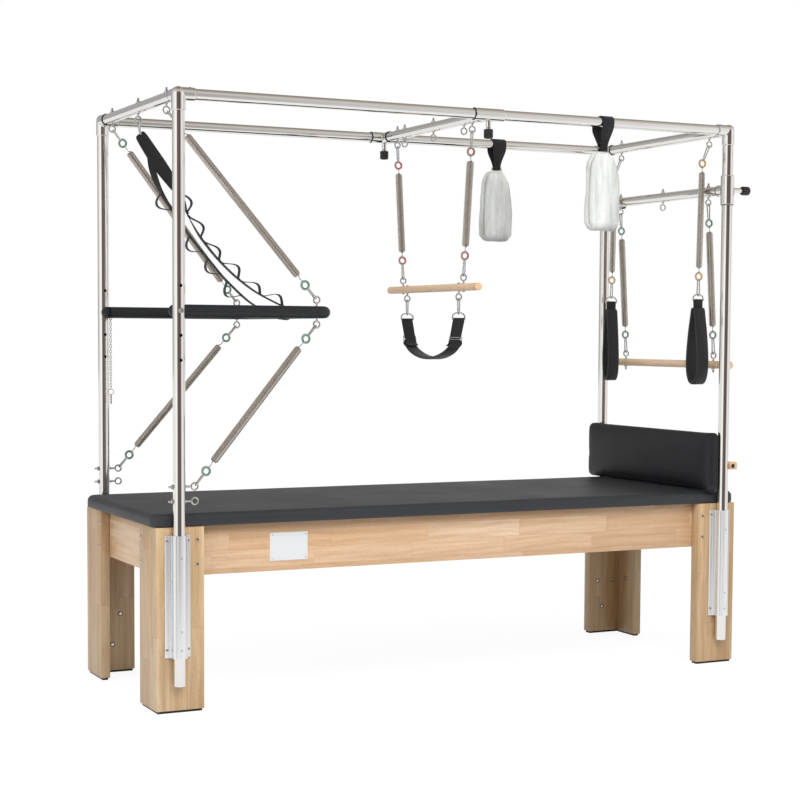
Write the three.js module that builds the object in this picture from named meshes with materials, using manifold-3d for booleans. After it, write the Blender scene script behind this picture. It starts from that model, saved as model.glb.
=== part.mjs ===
// Pilates trapeze table: a padded bench on wooden legs under a frame of polished steel tube,
// with a sliding trapeze, a push-through bar, a roll-down bar, arm springs and fleece loops.
// Millimetres. +X runs along the bench to the roll-down end, +Y to the back, +Z up.
import * as THREE from 'three';
import { mergeVertices } from 'three/addons/utils/BufferGeometryUtils.js';
import Module from 'manifold-3d';

const wasm = await Module();
wasm.setup();

// Gap between pieces that touch, overlap of shapes joined in one piece, and overrun of cuts
const FIT = 0.3;
const FUSE = 1.2;
const OVERRUN = 5;

// Sides and steps of the round shapes
const TUBE_SIDES = 12;
const BOLT_SIDES = 6;
const SCREW_SIDES = 8;
const WIRE_SIDES = 4;
const RING_STEPS = 8;
const LINK_STEPS = 10;
const BEND_STEPS = 3;
const DOME_STEPS = 2;
const CURL_STEPS = 8;
const CURL_SIDES = 5;

// Posts and rails
const POST_SPACING_LENGTH = 2208;
const POST_SPACING_WIDTH = 866;
const POST_RADIUS = 21;
const POST_BOTTOM = 96;
const RAIL_HEIGHT = 2060;
const RAIL_RADIUS = 19;
const SLEEVE_WALL = 2.7;
const FITTING_ARM = 55;
const BORE_WEB = 6;
const RAIL_SETBACK = 20;

// Legs: a wide board on each long side and one on each end, joined at the corner
const LEG_GAP = 0.5;
const LEG_OVERHANG = 74;
const LEG_FRONT_WIDTH = 170;
const LEG_END_WIDTH = 180;
const LEG_FRONT_BOARD = 44.5;
const LEG_END_BOARD = 34;
const LEG_EDGE = 4;
const CHAMFER_STEPS = 1;
const BENCH_HEIGHT = 627;
const FOOT_PAD_HEIGHT = 8;
const FOOT_PAD_INSET = 6;
const APRON_BOARD = 28;
const APRON_HEIGHT = 171;

// Padded top
const MAT_OVERHANG = 10;
const MAT_POST_GAP = 3;
const MAT_THICKNESS = 48;
const MAT_CORNER = 30;
const MAT_CROWN = 4;

// Bolster at the roll-down end, and the batten that clamps it to the posts
const BOLSTER_LENGTH = 880;
const BOLSTER_HEIGHT = 225;
const BOLSTER_THICKNESS = 60;
const BOLSTER_CORNER = 34;
const BOLSTER_CROWN = 9;
const PAD_EDGE = 8;
const PAD_WAIST = 2.5;
const PAD_SHOULDER = 46;
const PAD_CORNER_STEPS = 4;
const BATTEN_SIZE = 28;
const BATTEN_OVERHANG = 25;
const BATTEN_ABOVE_MAT = 99;
const BATTEN_BOLT_INSET = 60;
const BATTEN_BOLT_RADIUS = 4;

// Post sockets, lengths of one extruded section
const SOCKET_BOTTOM = 190;
const SOCKET_TOP = 602;
const SOCKET_FLANGE_HALF = 45;
const SOCKET_FLANGE = 6;
const SOCKET_WALL = 4;
const SOCKET_NOSE_HALF = 12.5;
const SOCKET_SHOULDER = 12;

// Eye bolts, snap links and rings
const EYE_RADIUS = 11.5;
const EYE_WIRE = 3;
const EYE_NECK = 7;
const EYE_SHANK = 4;
const NUT_RADIUS = 8;
const NUT_HEIGHT = 6;
const TAIL_HEIGHT = 16;
const LINK_WIRE = 2.5;
const LINK_PLAY = 2.6;
const RING_RADIUS = 15.5;
const RING_WIRE = 2.5;

// Spring coils, and the reach of their links and necks
const COIL_RADIUS = 12.25;
const SPRING_WIRE = 1.75;
const HANG_REACH = 75;
const HANG_NECK = 18;
const PUSH_REACH = 60;
const PUSH_NECK = 26;
const HANG_CURLS = 5;
const PUSH_UPPER_CURLS = 8;
const PUSH_LOWER_CURLS = 6;
const EYE_INSET = 122;

// Trapeze carriage on the long rails
const TRAPEZE_PLACE = 1160;
const CARRIAGE_SLEEVE = 120;
const CARRIAGE_BRANCH = 50;
const CARRIAGE_SPARE_INSET = 186;
const TRAPEZE_BOSS = 25;
const BOSS_RADIUS = 10;
const SCREW_RADIUS = 4;
const TRAPEZE_BAR_DROP = 610;
const TRAPEZE_BAR_RADIUS = 14;
const TRAPEZE_BAR_INSET = 63;
const TRAPEZE_BAR_EYE_INSET = 180;
const SLING_EYE_INSET = 217;
const SLING_LINK = 62;
const SLING_SAG = 165;
const SLING_WIDTH = 46;
const SLING_THICKNESS = 8;
const SLING_SAMPLES = 14;
const SLING_CURVE_POWER = 2.4;

// Grip knobs of the clamp screws
const KNOB_RADIUS = 17;
const KNOB_FLUTE = 1.8;
const KNOB_LENGTH = 38;
const KNOB_POINTS = 12;

// Roll-down carriage on the right posts
const ROLL_DOWN_DROP = 225;
const ROLL_DOWN_SLEEVE = 112;
const ROLL_DOWN_WALL = 4.7;
const ROLL_DOWN_BOSS = 36;
const ROLL_DOWN_BAR_DROP = 672;
const ROLL_DOWN_BAR_RADIUS = 15;
const ROLL_DOWN_BAR_INSET = 13;

// Push-through bar on the left posts
const PIVOT_HEIGHT = 1350;
const HOLE_PITCH = 82;
const HOLE_STEPS = [1, 0, -1, -2];
const HOLE_RADIUS = 6;
const PIN_RADIUS = 5.5;
const PIN_HEAD_RADIUS = 9;
const PIN_HEAD = 6;
const PUSH_BAR_RADIUS = 21;
const PUSH_BAR_INSET = 44;
const PUSH_BAR_LENGTH = 557;
const PUSH_BAR_BEND = 42;
const PUSH_EYE_PLACE = 514;
const LOWER_EYE_HEIGHT = 765;
const LOWER_EYE_PITCH = 49;
const LOWER_EYE_PLACE = 54;

// Arm springs and padded hand loops
const ARM_RING_DROP = 115;
const ARM_LEAN = 0.02;
const ARM_TIP_DROP = 628;
const ARM_LOOP_LENGTH = 345;
const ARM_LOOP_HALF = 42;
const ARM_LOOP_THICKNESS = 14;
const ARM_LOOP_WIDTH = 44;
const ARM_LOOP_ROUND = 11;
const ARM_RING_RADIUS = 8;
const ARM_RING_WIRE = 3;
const ARM_RING_STRAIGHT = 22;
const ARM_LOOP_TURN_FRONT = 90;
const ARM_LOOP_TURN_BACK = 78;

// Fleece loops on the long rails
const FLEECE_PLACE_FRONT = 1642;
const FLEECE_PLACE_BACK = 1675;
const FLEECE_STRAP_WIDTH = 76;
const FLEECE_STRAP = 3;
const FLEECE_DROP = 109;
const FLEECE_LENGTH = 291;
const FLEECE_WIDTH = 165;
const FLEECE_DEPTH = 70;
const FLEECE_WALL = 22;
const FLEECE_ROUND = 22;
const FLEECE_RING_RADIUS = 7;
const FLEECE_RING_STRAIGHT = 62;

// Looped stretching strap between the left cross-bar and the push-through bar
const STRAP_WIDTH = 38;
const STRAP_THICKNESS = 5;
const STRAP_LINK = 46;
const STRAP_FOLD_ROUND = 6;
const STRAP_WRAP_START_SHARE = 0.62;
const STRAP_WRAP_SHARE = 1.2;
const STRAP_WRAP_STEPS = 5;

const leftX = -POST_SPACING_LENGTH / 2;
const rightX = POST_SPACING_LENGTH / 2;
const frontY = -POST_SPACING_WIDTH / 2;
const backY = POST_SPACING_WIDTH / 2;
const ends = [{ name: 'left', x: leftX, out: -1 }, { name: 'right', x: rightX, out: 1 }];
const rows = [{ name: 'front', y: frontY, out: -1 }, { name: 'back', y: backY, out: 1 }];

const postTop = RAIL_HEIGHT - RAIL_RADIUS - BORE_WEB;
const railSleeveRadius = RAIL_RADIUS + FIT + SLEEVE_WALL;
const postSleeveRadius = POST_RADIUS + FIT + SLEEVE_WALL;
const rollDownSleeveRadius = POST_RADIUS + FIT + ROLL_DOWN_WALL;
const eyeReach = EYE_NECK + EYE_RADIUS + EYE_WIRE;
const linkHalfWidth = EYE_WIRE + LINK_WIRE + LINK_PLAY;
const eyeSeat = EYE_RADIUS * Math.cos(Math.PI / RING_STEPS) - EYE_WIRE - LINK_WIRE - FIT;
const ringSeat = RING_RADIUS - RING_WIRE - LINK_WIRE + FUSE;
const matBottom = BENCH_HEIGHT + FIT;
const matTop = matBottom + MAT_THICKNESS;
const legSetback = POST_RADIUS + LEG_GAP;
const alongX = new THREE.Vector3(1, 0, 0);
const alongY = new THREE.Vector3(0, 1, 0);
const alongZ = new THREE.Vector3(0, 0, 1);
const down = new THREE.Vector3(0, 0, -1);

const at = (x, y, z) => new THREE.Vector3(x, y, z);
const moved = (point, direction, distance) => point.clone().addScaledVector(direction, distance);
const towards = (from, to) => to.clone().sub(from).normalize();

function standard(color, roughness, metalness) {
  return new THREE.MeshStandardMaterial({ color, roughness, metalness, flatShading: true });
}
const steel = () => standard('#c8cbcf', 0.16, 1);
const springSteel = () => standard('#b9bcc0', 0.28, 1);
const aluminium = () => standard('#c4c6c8', 0.35, 1);
const beech = () => standard('#d9ab74', 0.55, 0);
const vinyl = () => standard('#2b2c2f', 0.5, 0);
const blackPlastic = () => standard('#17181a', 0.4, 0);
const rubber = () => standard('#1b1b1c', 0.8, 0);
const webbing = () => standard('#141416', 0.85, 0);
const fleece = () => standard('#e9e4d8', 0.95, 0);
const coated = () => standard('#2a2d31', 0.45, 0);

// Turn a closed geometry into a solid that can be joined and cut, and back
function solid(geometry) {
  geometry.deleteAttribute('normal');
  geometry.deleteAttribute('uv');
  const merged = mergeVertices(geometry);
  return new wasm.Manifold(new wasm.Mesh({
    numProp: 3,
    vertProperties: merged.attributes.position.array,
    triVerts: Uint32Array.from(merged.index.array),
  }));
}

function geometryOf(body) {
  const mesh = body.getMesh();
  const geometry = new THREE.BufferGeometry();
  geometry.setAttribute('position', new THREE.BufferAttribute(mesh.vertProperties, mesh.numProp));
  geometry.setIndex(new THREE.BufferAttribute(mesh.triVerts, 1));
  return geometry;
}

const join = (shapes) => shapes.map(solid).reduce((whole, shape) => whole.add(shape));
const joined = (shapes) => geometryOf(join(shapes));
const cut = (shapes, cutters) => geometryOf(join(shapes).subtract(join(cutters)));

// A straight round rod between two points
function rod(radius, from, to, sides = TUBE_SIDES) {
  const run = to.clone().sub(from);
  const geometry = new THREE.CylinderGeometry(radius, radius, run.length(), sides);
  geometry.applyQuaternion(new THREE.Quaternion().setFromUnitVectors(alongY, run.normalize()));
  const middle = from.clone().add(to).divideScalar(2);
  return geometry.translate(middle.x, middle.y, middle.z);
}

// A rectangular block between two opposite corners
function block(one, other) {
  const size = other.clone().sub(one);
  const middle = one.clone().add(other).divideScalar(2);
  const geometry = new THREE.BoxGeometry(Math.abs(size.x), Math.abs(size.y), Math.abs(size.z));
  return geometry.translate(middle.x, middle.y, middle.z);
}

// Stations along a line of corners, each rounded to an arc of the given radius unless it is sharp
function bends(corners, radius, steps, closed) {
  const count = corners.length;
  const stations = [];
  corners.forEach((corner, index) => {
    const inner = closed || (index > 0 && index < count - 1);
    const before = corners[(index + count - 1) % count];
    const after = corners[(index + 1) % count];
    const arriving = index > 0 || closed ? towards(before, corner) : towards(corner, after);
    if (!inner || corner.sharp) {
      stations.push({ point: corner, tangent: arriving });
      return;
    }
    const leaving = towards(corner, after);
    const turn = arriving.angleTo(leaving);
    const inward = leaving.clone().addScaledVector(arriving, -arriving.dot(leaving)).normalize();
    const start = moved(corner, arriving, -radius * Math.tan(turn / 2));
    for (let step = 0; step <= steps; step += 1) {
      const angle = turn * step / steps;
      const point = moved(start, arriving, radius * Math.sin(angle));
      point.addScaledVector(inward, radius * (1 - Math.cos(angle)));
      const tangent = arriving.clone().multiplyScalar(Math.cos(angle));
      stations.push({ point, tangent: tangent.addScaledVector(inward, Math.sin(angle)) });
    }
  });
  return stations;
}

// A path that passes its stations exactly, for a tube with few steps on its straights
class StationPath extends THREE.Curve {
  constructor(stations) {
    super();
    this.stations = stations;
  }

  station(share) {
    return this.stations[Math.round(share * (this.stations.length - 1))];
  }

  getUtoTmapping(share) {
    return share;
  }

  getPoint(share) {
    return this.station(share).point.clone();
  }

  getTangent(share) {
    return this.station(share).tangent.clone().normalize();
  }
}

// A tube of the given number of sides along its stations
function tube(stations, radius, sides) {
  const corners = Array.from({ length: sides }, (unused, index) => {
    const angle = 2 * Math.PI * index / sides;
    return new THREE.Vector2(radius * Math.cos(angle), radius * Math.sin(angle));
  });
  return new THREE.ExtrudeGeometry(new THREE.Shape(corners), {
    steps: stations.length - 1,
    extrudePath: new StationPath(stations),
  });
}

// An outline with rounded corners, pushed out straight
function roundedPrism(corners, radius, steps, depth) {
  const outline = new THREE.Shape(roundedLine(corners, radius, steps));
  return new THREE.ExtrudeGeometry(outline, { depth, bevelEnabled: false });
}

// An outline drawn in X and Z, pushed out along Y, or drawn in Y and Z, pushed out along X
function acrossY(shape, width) {
  const geometry = new THREE.ExtrudeGeometry(shape, { depth: width, bevelEnabled: false });
  return geometry.rotateX(Math.PI / 2).translate(0, width / 2, 0);
}

function acrossX(shape, width) {
  return acrossY(shape, width).rotateZ(Math.PI / 2);
}

// The points of a band's edge, half its thickness to one side of its middle line
function bandEdge(line, distance, closed) {
  const last = line.length - 1;
  return line.map((point, index) => {
    const before = line[index > 0 ? index - 1 : (closed ? last : 0)];
    const after = line[index < last ? index + 1 : (closed ? 0 : last)];
    const along = after.clone().sub(before).normalize();
    return new THREE.Vector2(point.x - along.y * distance, point.y + along.x * distance);
  });
}

function closedBand(line, thickness) {
  const outward = THREE.ShapeUtils.isClockWise(line) ? thickness / 2 : -thickness / 2;
  const shape = new THREE.Shape(bandEdge(line, outward, true));
  shape.holes.push(new THREE.Path(bandEdge(line, -outward, true).reverse()));
  return shape;
}

function openBand(line, thickness) {
  const far = bandEdge(line, -thickness / 2, false).reverse();
  return new THREE.Shape([...bandEdge(line, thickness / 2, false), ...far]);
}

function roundedLine(corners, radius, steps) {
  const points = corners.map(([x, y, sharp]) => Object.assign(at(x, y, 0), { sharp }));
  return bends(points, radius, steps, true).map(({ point }) => new THREE.Vector2(point.x, point.y));
}

// A closed skin over rings of points, each ring counter-clockwise seen from the last one
function loft(rings) {
  const count = rings[0].length;
  const points = rings.flat();
  const middleOf = (ring) => ring.reduce((sum, point) => sum.add(point), at(0, 0, 0)).divideScalar(count);
  const bottom = points.push(middleOf(rings[0])) - 1;
  const top = points.push(middleOf(rings[rings.length - 1])) - 1;
  const lastRing = (rings.length - 1) * count;
  const faces = [];
  for (let j = 0; j < count; j += 1) {
    const next = (j + 1) % count;
    for (let i = 0; i < rings.length - 1; i += 1) {
      const low = i * count;
      const high = low + count;
      faces.push(low + j, low + next, high + next, low + j, high + next, high + j);
    }
    faces.push(bottom, next, j, top, lastRing + j, lastRing + next);
  }
  const geometry = new THREE.BufferGeometry().setFromPoints(points);
  geometry.setIndex(faces);
  return geometry;
}

// A stuffed pad lying flat: drawn-in sides, rounded edges and a crowned top
function pad(length, width, thickness, corner, crown) {
  const flat = thickness - crown;
  const levels = [
    { inset: PAD_EDGE / 2, height: 0 },
    { inset: 0, height: PAD_EDGE },
    { inset: PAD_WAIST, height: flat / 2 },
    { inset: 0, height: flat - PAD_EDGE },
    { inset: PAD_EDGE, height: flat },
    { inset: PAD_SHOULDER, height: thickness },
  ];
  return loft(levels.map(({ inset, height }) => {
    const x = length / 2 - inset;
    const y = width / 2 - inset;
    const round = Math.max(corner - inset, corner / 4);
    const corners = [[x, -y], [x, y], [-x, y], [-x, -y]];
    return roundedLine(corners, round, PAD_CORNER_STEPS - 1).map((point) => at(point.x, point.y, height));
  }));
}

// Set a geometry's X along a direction, with its Y as near a second one as can be
function orient(geometry, origin, direction, second) {
  const z = direction.clone().cross(second).normalize();
  const y = z.clone().cross(direction);
  return geometry.applyMatrix4(new THREE.Matrix4().makeBasis(direction, y, z).setPosition(origin));
}

// A closed loop of wire in its XY plane, round or drawn out along X by its straight sides
function wireLoop(radius, wire, straight) {
  const steps = straight > 0 ? LINK_STEPS : RING_STEPS;
  const geometry = new THREE.TorusGeometry(radius, wire, WIRE_SIDES, steps);
  const place = geometry.attributes.position;
  for (let index = 0; index < place.count; index += 1) {
    const x = place.getX(index);
    place.setX(index, x + Math.sign(x) * straight / 2);
  }
  return geometry;
}

// A snap link whose two end arcs lie at the given points, and a ring that lies square to it
function snapLink(from, to) {
  const direction = towards(from, to);
  const straight = from.distanceTo(to) - 2 * linkHalfWidth;
  const middle = from.clone().add(to).divideScalar(2);
  return orient(wireLoop(linkHalfWidth, LINK_WIRE, straight), middle, direction, alongY);
}

function springRing(middle, direction) {
  const second = direction.clone().cross(alongY);
  return orient(wireLoop(RING_RADIUS, RING_WIRE, 0), middle, direction, second);
}

// An eye screwed into a tube, its loop in the XZ plane with a flat of its wire at the far end
function eye(middle, direction, tubeRadius, neck) {
  const centre = moved(middle, direction, tubeRadius + neck + EYE_RADIUS + EYE_WIRE);
  const shankEnd = moved(middle, direction, tubeRadius + neck + EYE_WIRE);
  const second = direction.clone().cross(alongY);
  const loop = wireLoop(EYE_RADIUS, EYE_WIRE, 0).rotateZ(Math.PI / RING_STEPS);
  return [
    orient(loop, centre, direction, second),
    rod(EYE_SHANK, moved(middle, direction, tubeRadius / 2), shankEnd, BOLT_SIDES),
  ];
}

// The nut and the cut end of the eye's bolt on the tube's other side
function boltTail(middle, direction, tubeRadius) {
  const start = moved(middle, direction, -tubeRadius / 2);
  return [
    rod(NUT_RADIUS, start, moved(middle, direction, -tubeRadius - NUT_HEIGHT), BOLT_SIDES),
    rod(EYE_SHANK, start, moved(middle, direction, -tubeRadius - TAIL_HEIGHT), BOLT_SIDES),
  ];
}

function eyeBolt(middle, direction, tubeRadius, neck = EYE_NECK) {
  return [...eye(middle, direction, tubeRadius, neck), ...boltTail(middle, direction, tubeRadius)];
}

// Print the least gap between a coil's turns, measured on its middle line
function reportCoilGap(name, stations) {
  let least = Infinity;
  stations.forEach(({ point }, index) => {
    for (let other = index + CURL_STEPS / 2; other < stations.length; other += 1) {
      least = Math.min(least, point.distanceTo(stations[other].point) - 2 * SPRING_WIRE);
    }
  });
  console.log(`${name}: least gap between curls ${least.toFixed(1)} mm`);
}

// A coil of wire: straight at both ends, drawn in to its axis along each neck
function coil(name, from, to, curls, neck) {
  const direction = towards(from, to);
  const side = direction.clone().cross(alongY).normalize();
  const other = direction.clone().cross(side);
  const straight = 2 * SPRING_WIRE;
  const wound = from.distanceTo(to) - 2 * straight;
  const pointAt = (share) => {
    const distance = wound * share;
    const open = Math.min(1, distance / neck, (wound - distance) / neck);
    const radius = COIL_RADIUS * Math.sin(open * Math.PI / 2);
    const angle = 2 * Math.PI * curls * share;
    const point = moved(from, direction, straight + distance);
    point.addScaledVector(side, radius * Math.cos(angle));
    return point.addScaledVector(other, radius * Math.sin(angle));
  };
  const stations = [{ point: from, tangent: direction }, { point: pointAt(0), tangent: direction }];
  const steps = curls * CURL_STEPS;
  for (let step = 1; step < steps; step += 1) {
    const tangent = towards(pointAt((step - 0.5) / steps), pointAt((step + 0.5) / steps));
    stations.push({ point: pointAt(step / steps), tangent });
  }
  stations.push({ point: pointAt(1), tangent: direction }, { point: to, tangent: direction });
  reportCoilGap(name, stations.slice(1, -1));
  return tube(stations, SPRING_WIRE, CURL_SIDES);
}

// A spring with a ring and a snap link at each end, given by the places of its link arcs and rings
function springSet(name, nearTip, nearRing, farRing, farTip, curls, neck) {
  const entering = towards(nearTip, nearRing);
  const direction = towards(nearRing, farRing);
  return joined([
    snapLink(nearTip, moved(nearRing, entering, -ringSeat)),
    springRing(nearRing, entering),
    coil(name, moved(nearRing, direction, RING_RADIUS), moved(farRing, direction, -RING_RADIUS), curls, neck),
    springRing(farRing, direction),
    snapLink(moved(farRing, direction, ringSeat), farTip),
  ]);
}

// A spring set hung straight between two eyes
function eyeToEye(name, nearEye, farEye, reach, curls, neck) {
  const direction = towards(nearEye, farEye);
  const nearTip = moved(nearEye, direction, eyeSeat);
  const farTip = moved(farEye, direction, -eyeSeat);
  const nearRing = moved(nearTip, direction, reach);
  return springSet(name, nearTip, nearRing, moved(farTip, direction, -reach), farTip, curls, neck);
}

const table = new THREE.Group();

function add(parent, name, geometry, material) {
  const mesh = new THREE.Mesh(geometry, material);
  mesh.name = name;
  parent.add(mesh);
  return mesh;
}

function groupAt(x, y, z) {
  const group = new THREE.Group();
  group.position.set(x, y, z);
  table.add(group);
  return group;
}

// Legs, feet, sockets, posts and corner fittings, each corner about its post's axis
function legOutline(outX, outY, inset) {
  const face = -outY * (legSetback + inset);
  const outer = outX * (LEG_OVERHANG - inset);
  const frontEnd = -outX * (LEG_FRONT_WIDTH - LEG_OVERHANG - inset);
  const frontBack = -outY * (legSetback + LEG_FRONT_BOARD - inset);
  const endInner = outX * (LEG_OVERHANG - LEG_END_BOARD + inset);
  const endBack = -outY * (legSetback + LEG_END_WIDTH - inset);
  return [[outer, face], [frontEnd, face], [frontEnd, frontBack],
    [endInner, frontBack, true], [endInner, endBack], [outer, endBack]];
}

function leg(outX, outY) {
  const bottom = FOOT_PAD_HEIGHT + FIT;
  const outline = legOutline(outX, outY, 0);
  const board = roundedPrism(outline, LEG_EDGE, CHAMFER_STEPS, BENCH_HEIGHT - bottom);
  return board.translate(0, 0, bottom);
}

function footPad(outX, outY) {
  return roundedPrism(legOutline(outX, outY, FOOT_PAD_INSET), LEG_EDGE, CHAMFER_STEPS, FOOT_PAD_HEIGHT);
}

// A hat-shaped extrusion whose flanges are screwed flat to the leg, the post inside it
function socket(outY) {
  const bore = POST_RADIUS + FIT;
  const back = -(legSetback - FIT);
  const flangeFront = back + SOCKET_FLANGE;
  const half = bore + SOCKET_WALL;
  const arcSteps = TUBE_SIDES / 2;
  const hollow = Array.from({ length: arcSteps + 1 }, (unused, index) => {
    const angle = Math.PI * index / arcSteps;
    return [-bore * Math.cos(angle), bore * Math.sin(angle)];
  });
  const outline = [
    [bore, back], [SOCKET_FLANGE_HALF, back], [SOCKET_FLANGE_HALF, flangeFront], [half, flangeFront],
    [half, SOCKET_SHOULDER], [SOCKET_NOSE_HALF, bore + SOCKET_WALL], [-SOCKET_NOSE_HALF, bore + SOCKET_WALL],
    [-half, SOCKET_SHOULDER], [-half, flangeFront], [-SOCKET_FLANGE_HALF, flangeFront],
    [-SOCKET_FLANGE_HALF, back], [-bore, back], ...hollow,
  ];
  const shape = new THREE.Shape(outline.map(([x, y]) => new THREE.Vector2(x, outY * y)));
  const depth = SOCKET_TOP - SOCKET_BOTTOM;
  return new THREE.ExtrudeGeometry(shape, { depth, bevelEnabled: false }).translate(0, 0, SOCKET_BOTTOM);
}

// The left posts carry the push-through bar's pivot holes and its lower eye bolts
function post(end) {
  const stem = rod(POST_RADIUS, at(0, 0, POST_BOTTOM), at(0, 0, postTop - FIT));
  if (end.name === 'right') {
    return joined([stem]);
  }
  const neck = LOWER_EYE_PLACE - POST_RADIUS - EYE_RADIUS - EYE_WIRE;
  const bolts = [LOWER_EYE_HEIGHT, LOWER_EYE_HEIGHT - LOWER_EYE_PITCH].flatMap((height) => (
    eyeBolt(at(0, 0, height), alongX, POST_RADIUS, neck)));
  const through = POST_RADIUS + OVERRUN;
  const holes = HOLE_STEPS.map((step) => {
    const height = PIVOT_HEIGHT + step * HOLE_PITCH;
    const sides = step === 0 ? TUBE_SIDES : SCREW_SIDES;
    return rod(HOLE_RADIUS, at(0, -through, height), at(0, through, height), sides);
  });
  return cut([stem, ...bolts], holes);
}

// A domed three-way fitting over the post's top, open inwards for the rail and the cross-bar
function cornerFitting(outX, outY) {
  const profile = [new THREE.Vector2(0, -FITTING_ARM), new THREE.Vector2(postSleeveRadius, -FITTING_ARM)];
  for (let step = 0; step < DOME_STEPS; step += 1) {
    const angle = Math.PI / 2 * step / DOME_STEPS;
    profile.push(new THREE.Vector2(postSleeveRadius * Math.cos(angle), postSleeveRadius * Math.sin(angle)));
  }
  profile.push(new THREE.Vector2(0, postSleeveRadius));
  const dome = new THREE.LatheGeometry(profile, TUBE_SIDES).rotateX(Math.PI / 2);
  const centre = at(0, 0, 0);
  const inX = at(-outX, 0, 0);
  const inY = at(0, -outY, 0);
  const mouth = FITTING_ARM + OVERRUN;
  const railBore = RAIL_RADIUS + FIT;
  const floor = RAIL_SETBACK - FIT;
  const body = [dome, rod(railSleeveRadius, centre, moved(centre, inX, FITTING_ARM)),
    rod(railSleeveRadius, centre, moved(centre, inY, FITTING_ARM))];
  return cut(body, [
    rod(POST_RADIUS + FIT, at(0, 0, -mouth), at(0, 0, postTop - RAIL_HEIGHT)),
    rod(railBore, moved(centre, inX, floor), moved(centre, inX, mouth)),
    rod(railBore, moved(centre, inY, floor), moved(centre, inY, mouth)),
  ]);
}

for (const end of ends) {
  for (const row of rows) {
    const corner = groupAt(end.x, row.y, 0);
    const place = `${row.name}_${end.name}`;
    add(corner, `foot_pad_${place}`, footPad(end.out, row.out), rubber());
    add(corner, `leg_${place}`, leg(end.out, row.out), beech());
    add(corner, `post_socket_${place}`, socket(row.out), aluminium());
    add(corner, `post_${place}`, post(end), steel());
    const fitting = add(corner, `corner_fitting_${place}`, cornerFitting(end.out, row.out), steel());
    fitting.position.z = RAIL_HEIGHT;
  }
}

// Aprons of the bench, behind the leg boards
const apronEnd = rightX + LEG_OVERHANG - LEG_END_BOARD - FIT;
const apronFace = backY - legSetback - LEG_FRONT_BOARD - FIT;
const apronBottom = BENCH_HEIGHT - APRON_HEIGHT;
for (const row of rows) {
  const outer = at(-apronEnd, row.out * apronFace, apronBottom);
  const inner = at(apronEnd, row.out * (apronFace - APRON_BOARD), BENCH_HEIGHT);
  add(table, `side_apron_${row.name}`, block(outer, inner), beech());
}
for (const end of ends) {
  const half = apronFace - APRON_BOARD - FIT;
  const outer = at(end.out * apronEnd, -half, apronBottom);
  const inner = at(end.out * (apronEnd - APRON_BOARD), half, BENCH_HEIGHT);
  add(table, `end_apron_${end.name}`, block(outer, inner), beech());
}

// Padded top between the posts
const matLength = POST_SPACING_LENGTH + 2 * (LEG_OVERHANG + MAT_OVERHANG);
const matWidth = POST_SPACING_WIDTH - 2 * (POST_RADIUS + MAT_POST_GAP);
const mat = add(table, 'mat', pad(matLength, matWidth, MAT_THICKNESS, MAT_CORNER, MAT_CROWN), vinyl());
mat.position.z = matBottom;

// Bolster standing on the mat against the right posts, its crowned face to the user
const bolsterPad = pad(BOLSTER_LENGTH, BOLSTER_HEIGHT, BOLSTER_THICKNESS, BOLSTER_CORNER, BOLSTER_CROWN);
const bolster = add(table, 'bolster_pad', bolsterPad, vinyl());
bolster.rotation.set(Math.PI / 2, 0, -Math.PI / 2, 'ZYX');
const bolsterBack = rightX - POST_RADIUS - FIT;
bolster.position.set(bolsterBack, 0, matTop + FIT + BOLSTER_HEIGHT / 2);

// Batten across the outer side of the posts, bolted through to the bolster
function batten() {
  const near = rightX + POST_RADIUS + FIT;
  const low = matTop + BATTEN_ABOVE_MAT - BATTEN_SIZE / 2;
  const reach = backY + BATTEN_OVERHANG;
  const bar = block(at(near, -reach, low), at(near + BATTEN_SIZE, reach, low + BATTEN_SIZE));
  const bolts = rows.map((row) => {
    const y = row.y - row.out * BATTEN_BOLT_INSET;
    const height = low + BATTEN_SIZE / 2;
    return rod(BATTEN_BOLT_RADIUS, at(bolsterBack + FIT, y, height), at(near + FUSE, y, height), SCREW_SIDES);
  });
  return joined([bar, ...bolts]);
}
add(table, 'bolster_batten', batten(), beech());

// Long rails and cross-bars, seated in the corner fittings
for (const row of rows) {
  const reach = rightX - RAIL_SETBACK;
  const rail = rod(RAIL_RADIUS, at(-reach, row.y, RAIL_HEIGHT), at(reach, row.y, RAIL_HEIGHT));
  add(table, `top_rail_${row.name}`, joined([rail]), steel());
}
const crossReach = backY - RAIL_SETBACK;
const outerEyes = rows.map((row) => row.y - row.out * EYE_INSET);
for (const end of ends) {
  const bar = rod(RAIL_RADIUS, at(0, -crossReach, 0), at(0, crossReach, 0));
  const places = end.name === 'left' ? [outerEyes[0], 0, outerEyes[1]] : outerEyes;
  const bolts = places.flatMap((y) => eyeBolt(at(0, y, 0), down, RAIL_RADIUS));
  add(groupAt(end.x, 0, RAIL_HEIGHT), `cross_bar_${end.name}`, joined([bar, ...bolts]), steel());
}

// Screw hole through a carriage's boss to its bore
function bossAndHole(middle, direction, sleeveRadius, length) {
  const mouth = moved(middle, direction, sleeveRadius + length);
  const holeRadius = (SCREW_RADIUS + FIT) / Math.cos(Math.PI / SCREW_SIDES);
  return {
    boss: rod(BOSS_RADIUS, moved(middle, direction, sleeveRadius - FUSE), mouth, SCREW_SIDES),
    hole: rod(holeRadius, middle, moved(mouth, direction, OVERRUN), SCREW_SIDES),
  };
}

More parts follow.
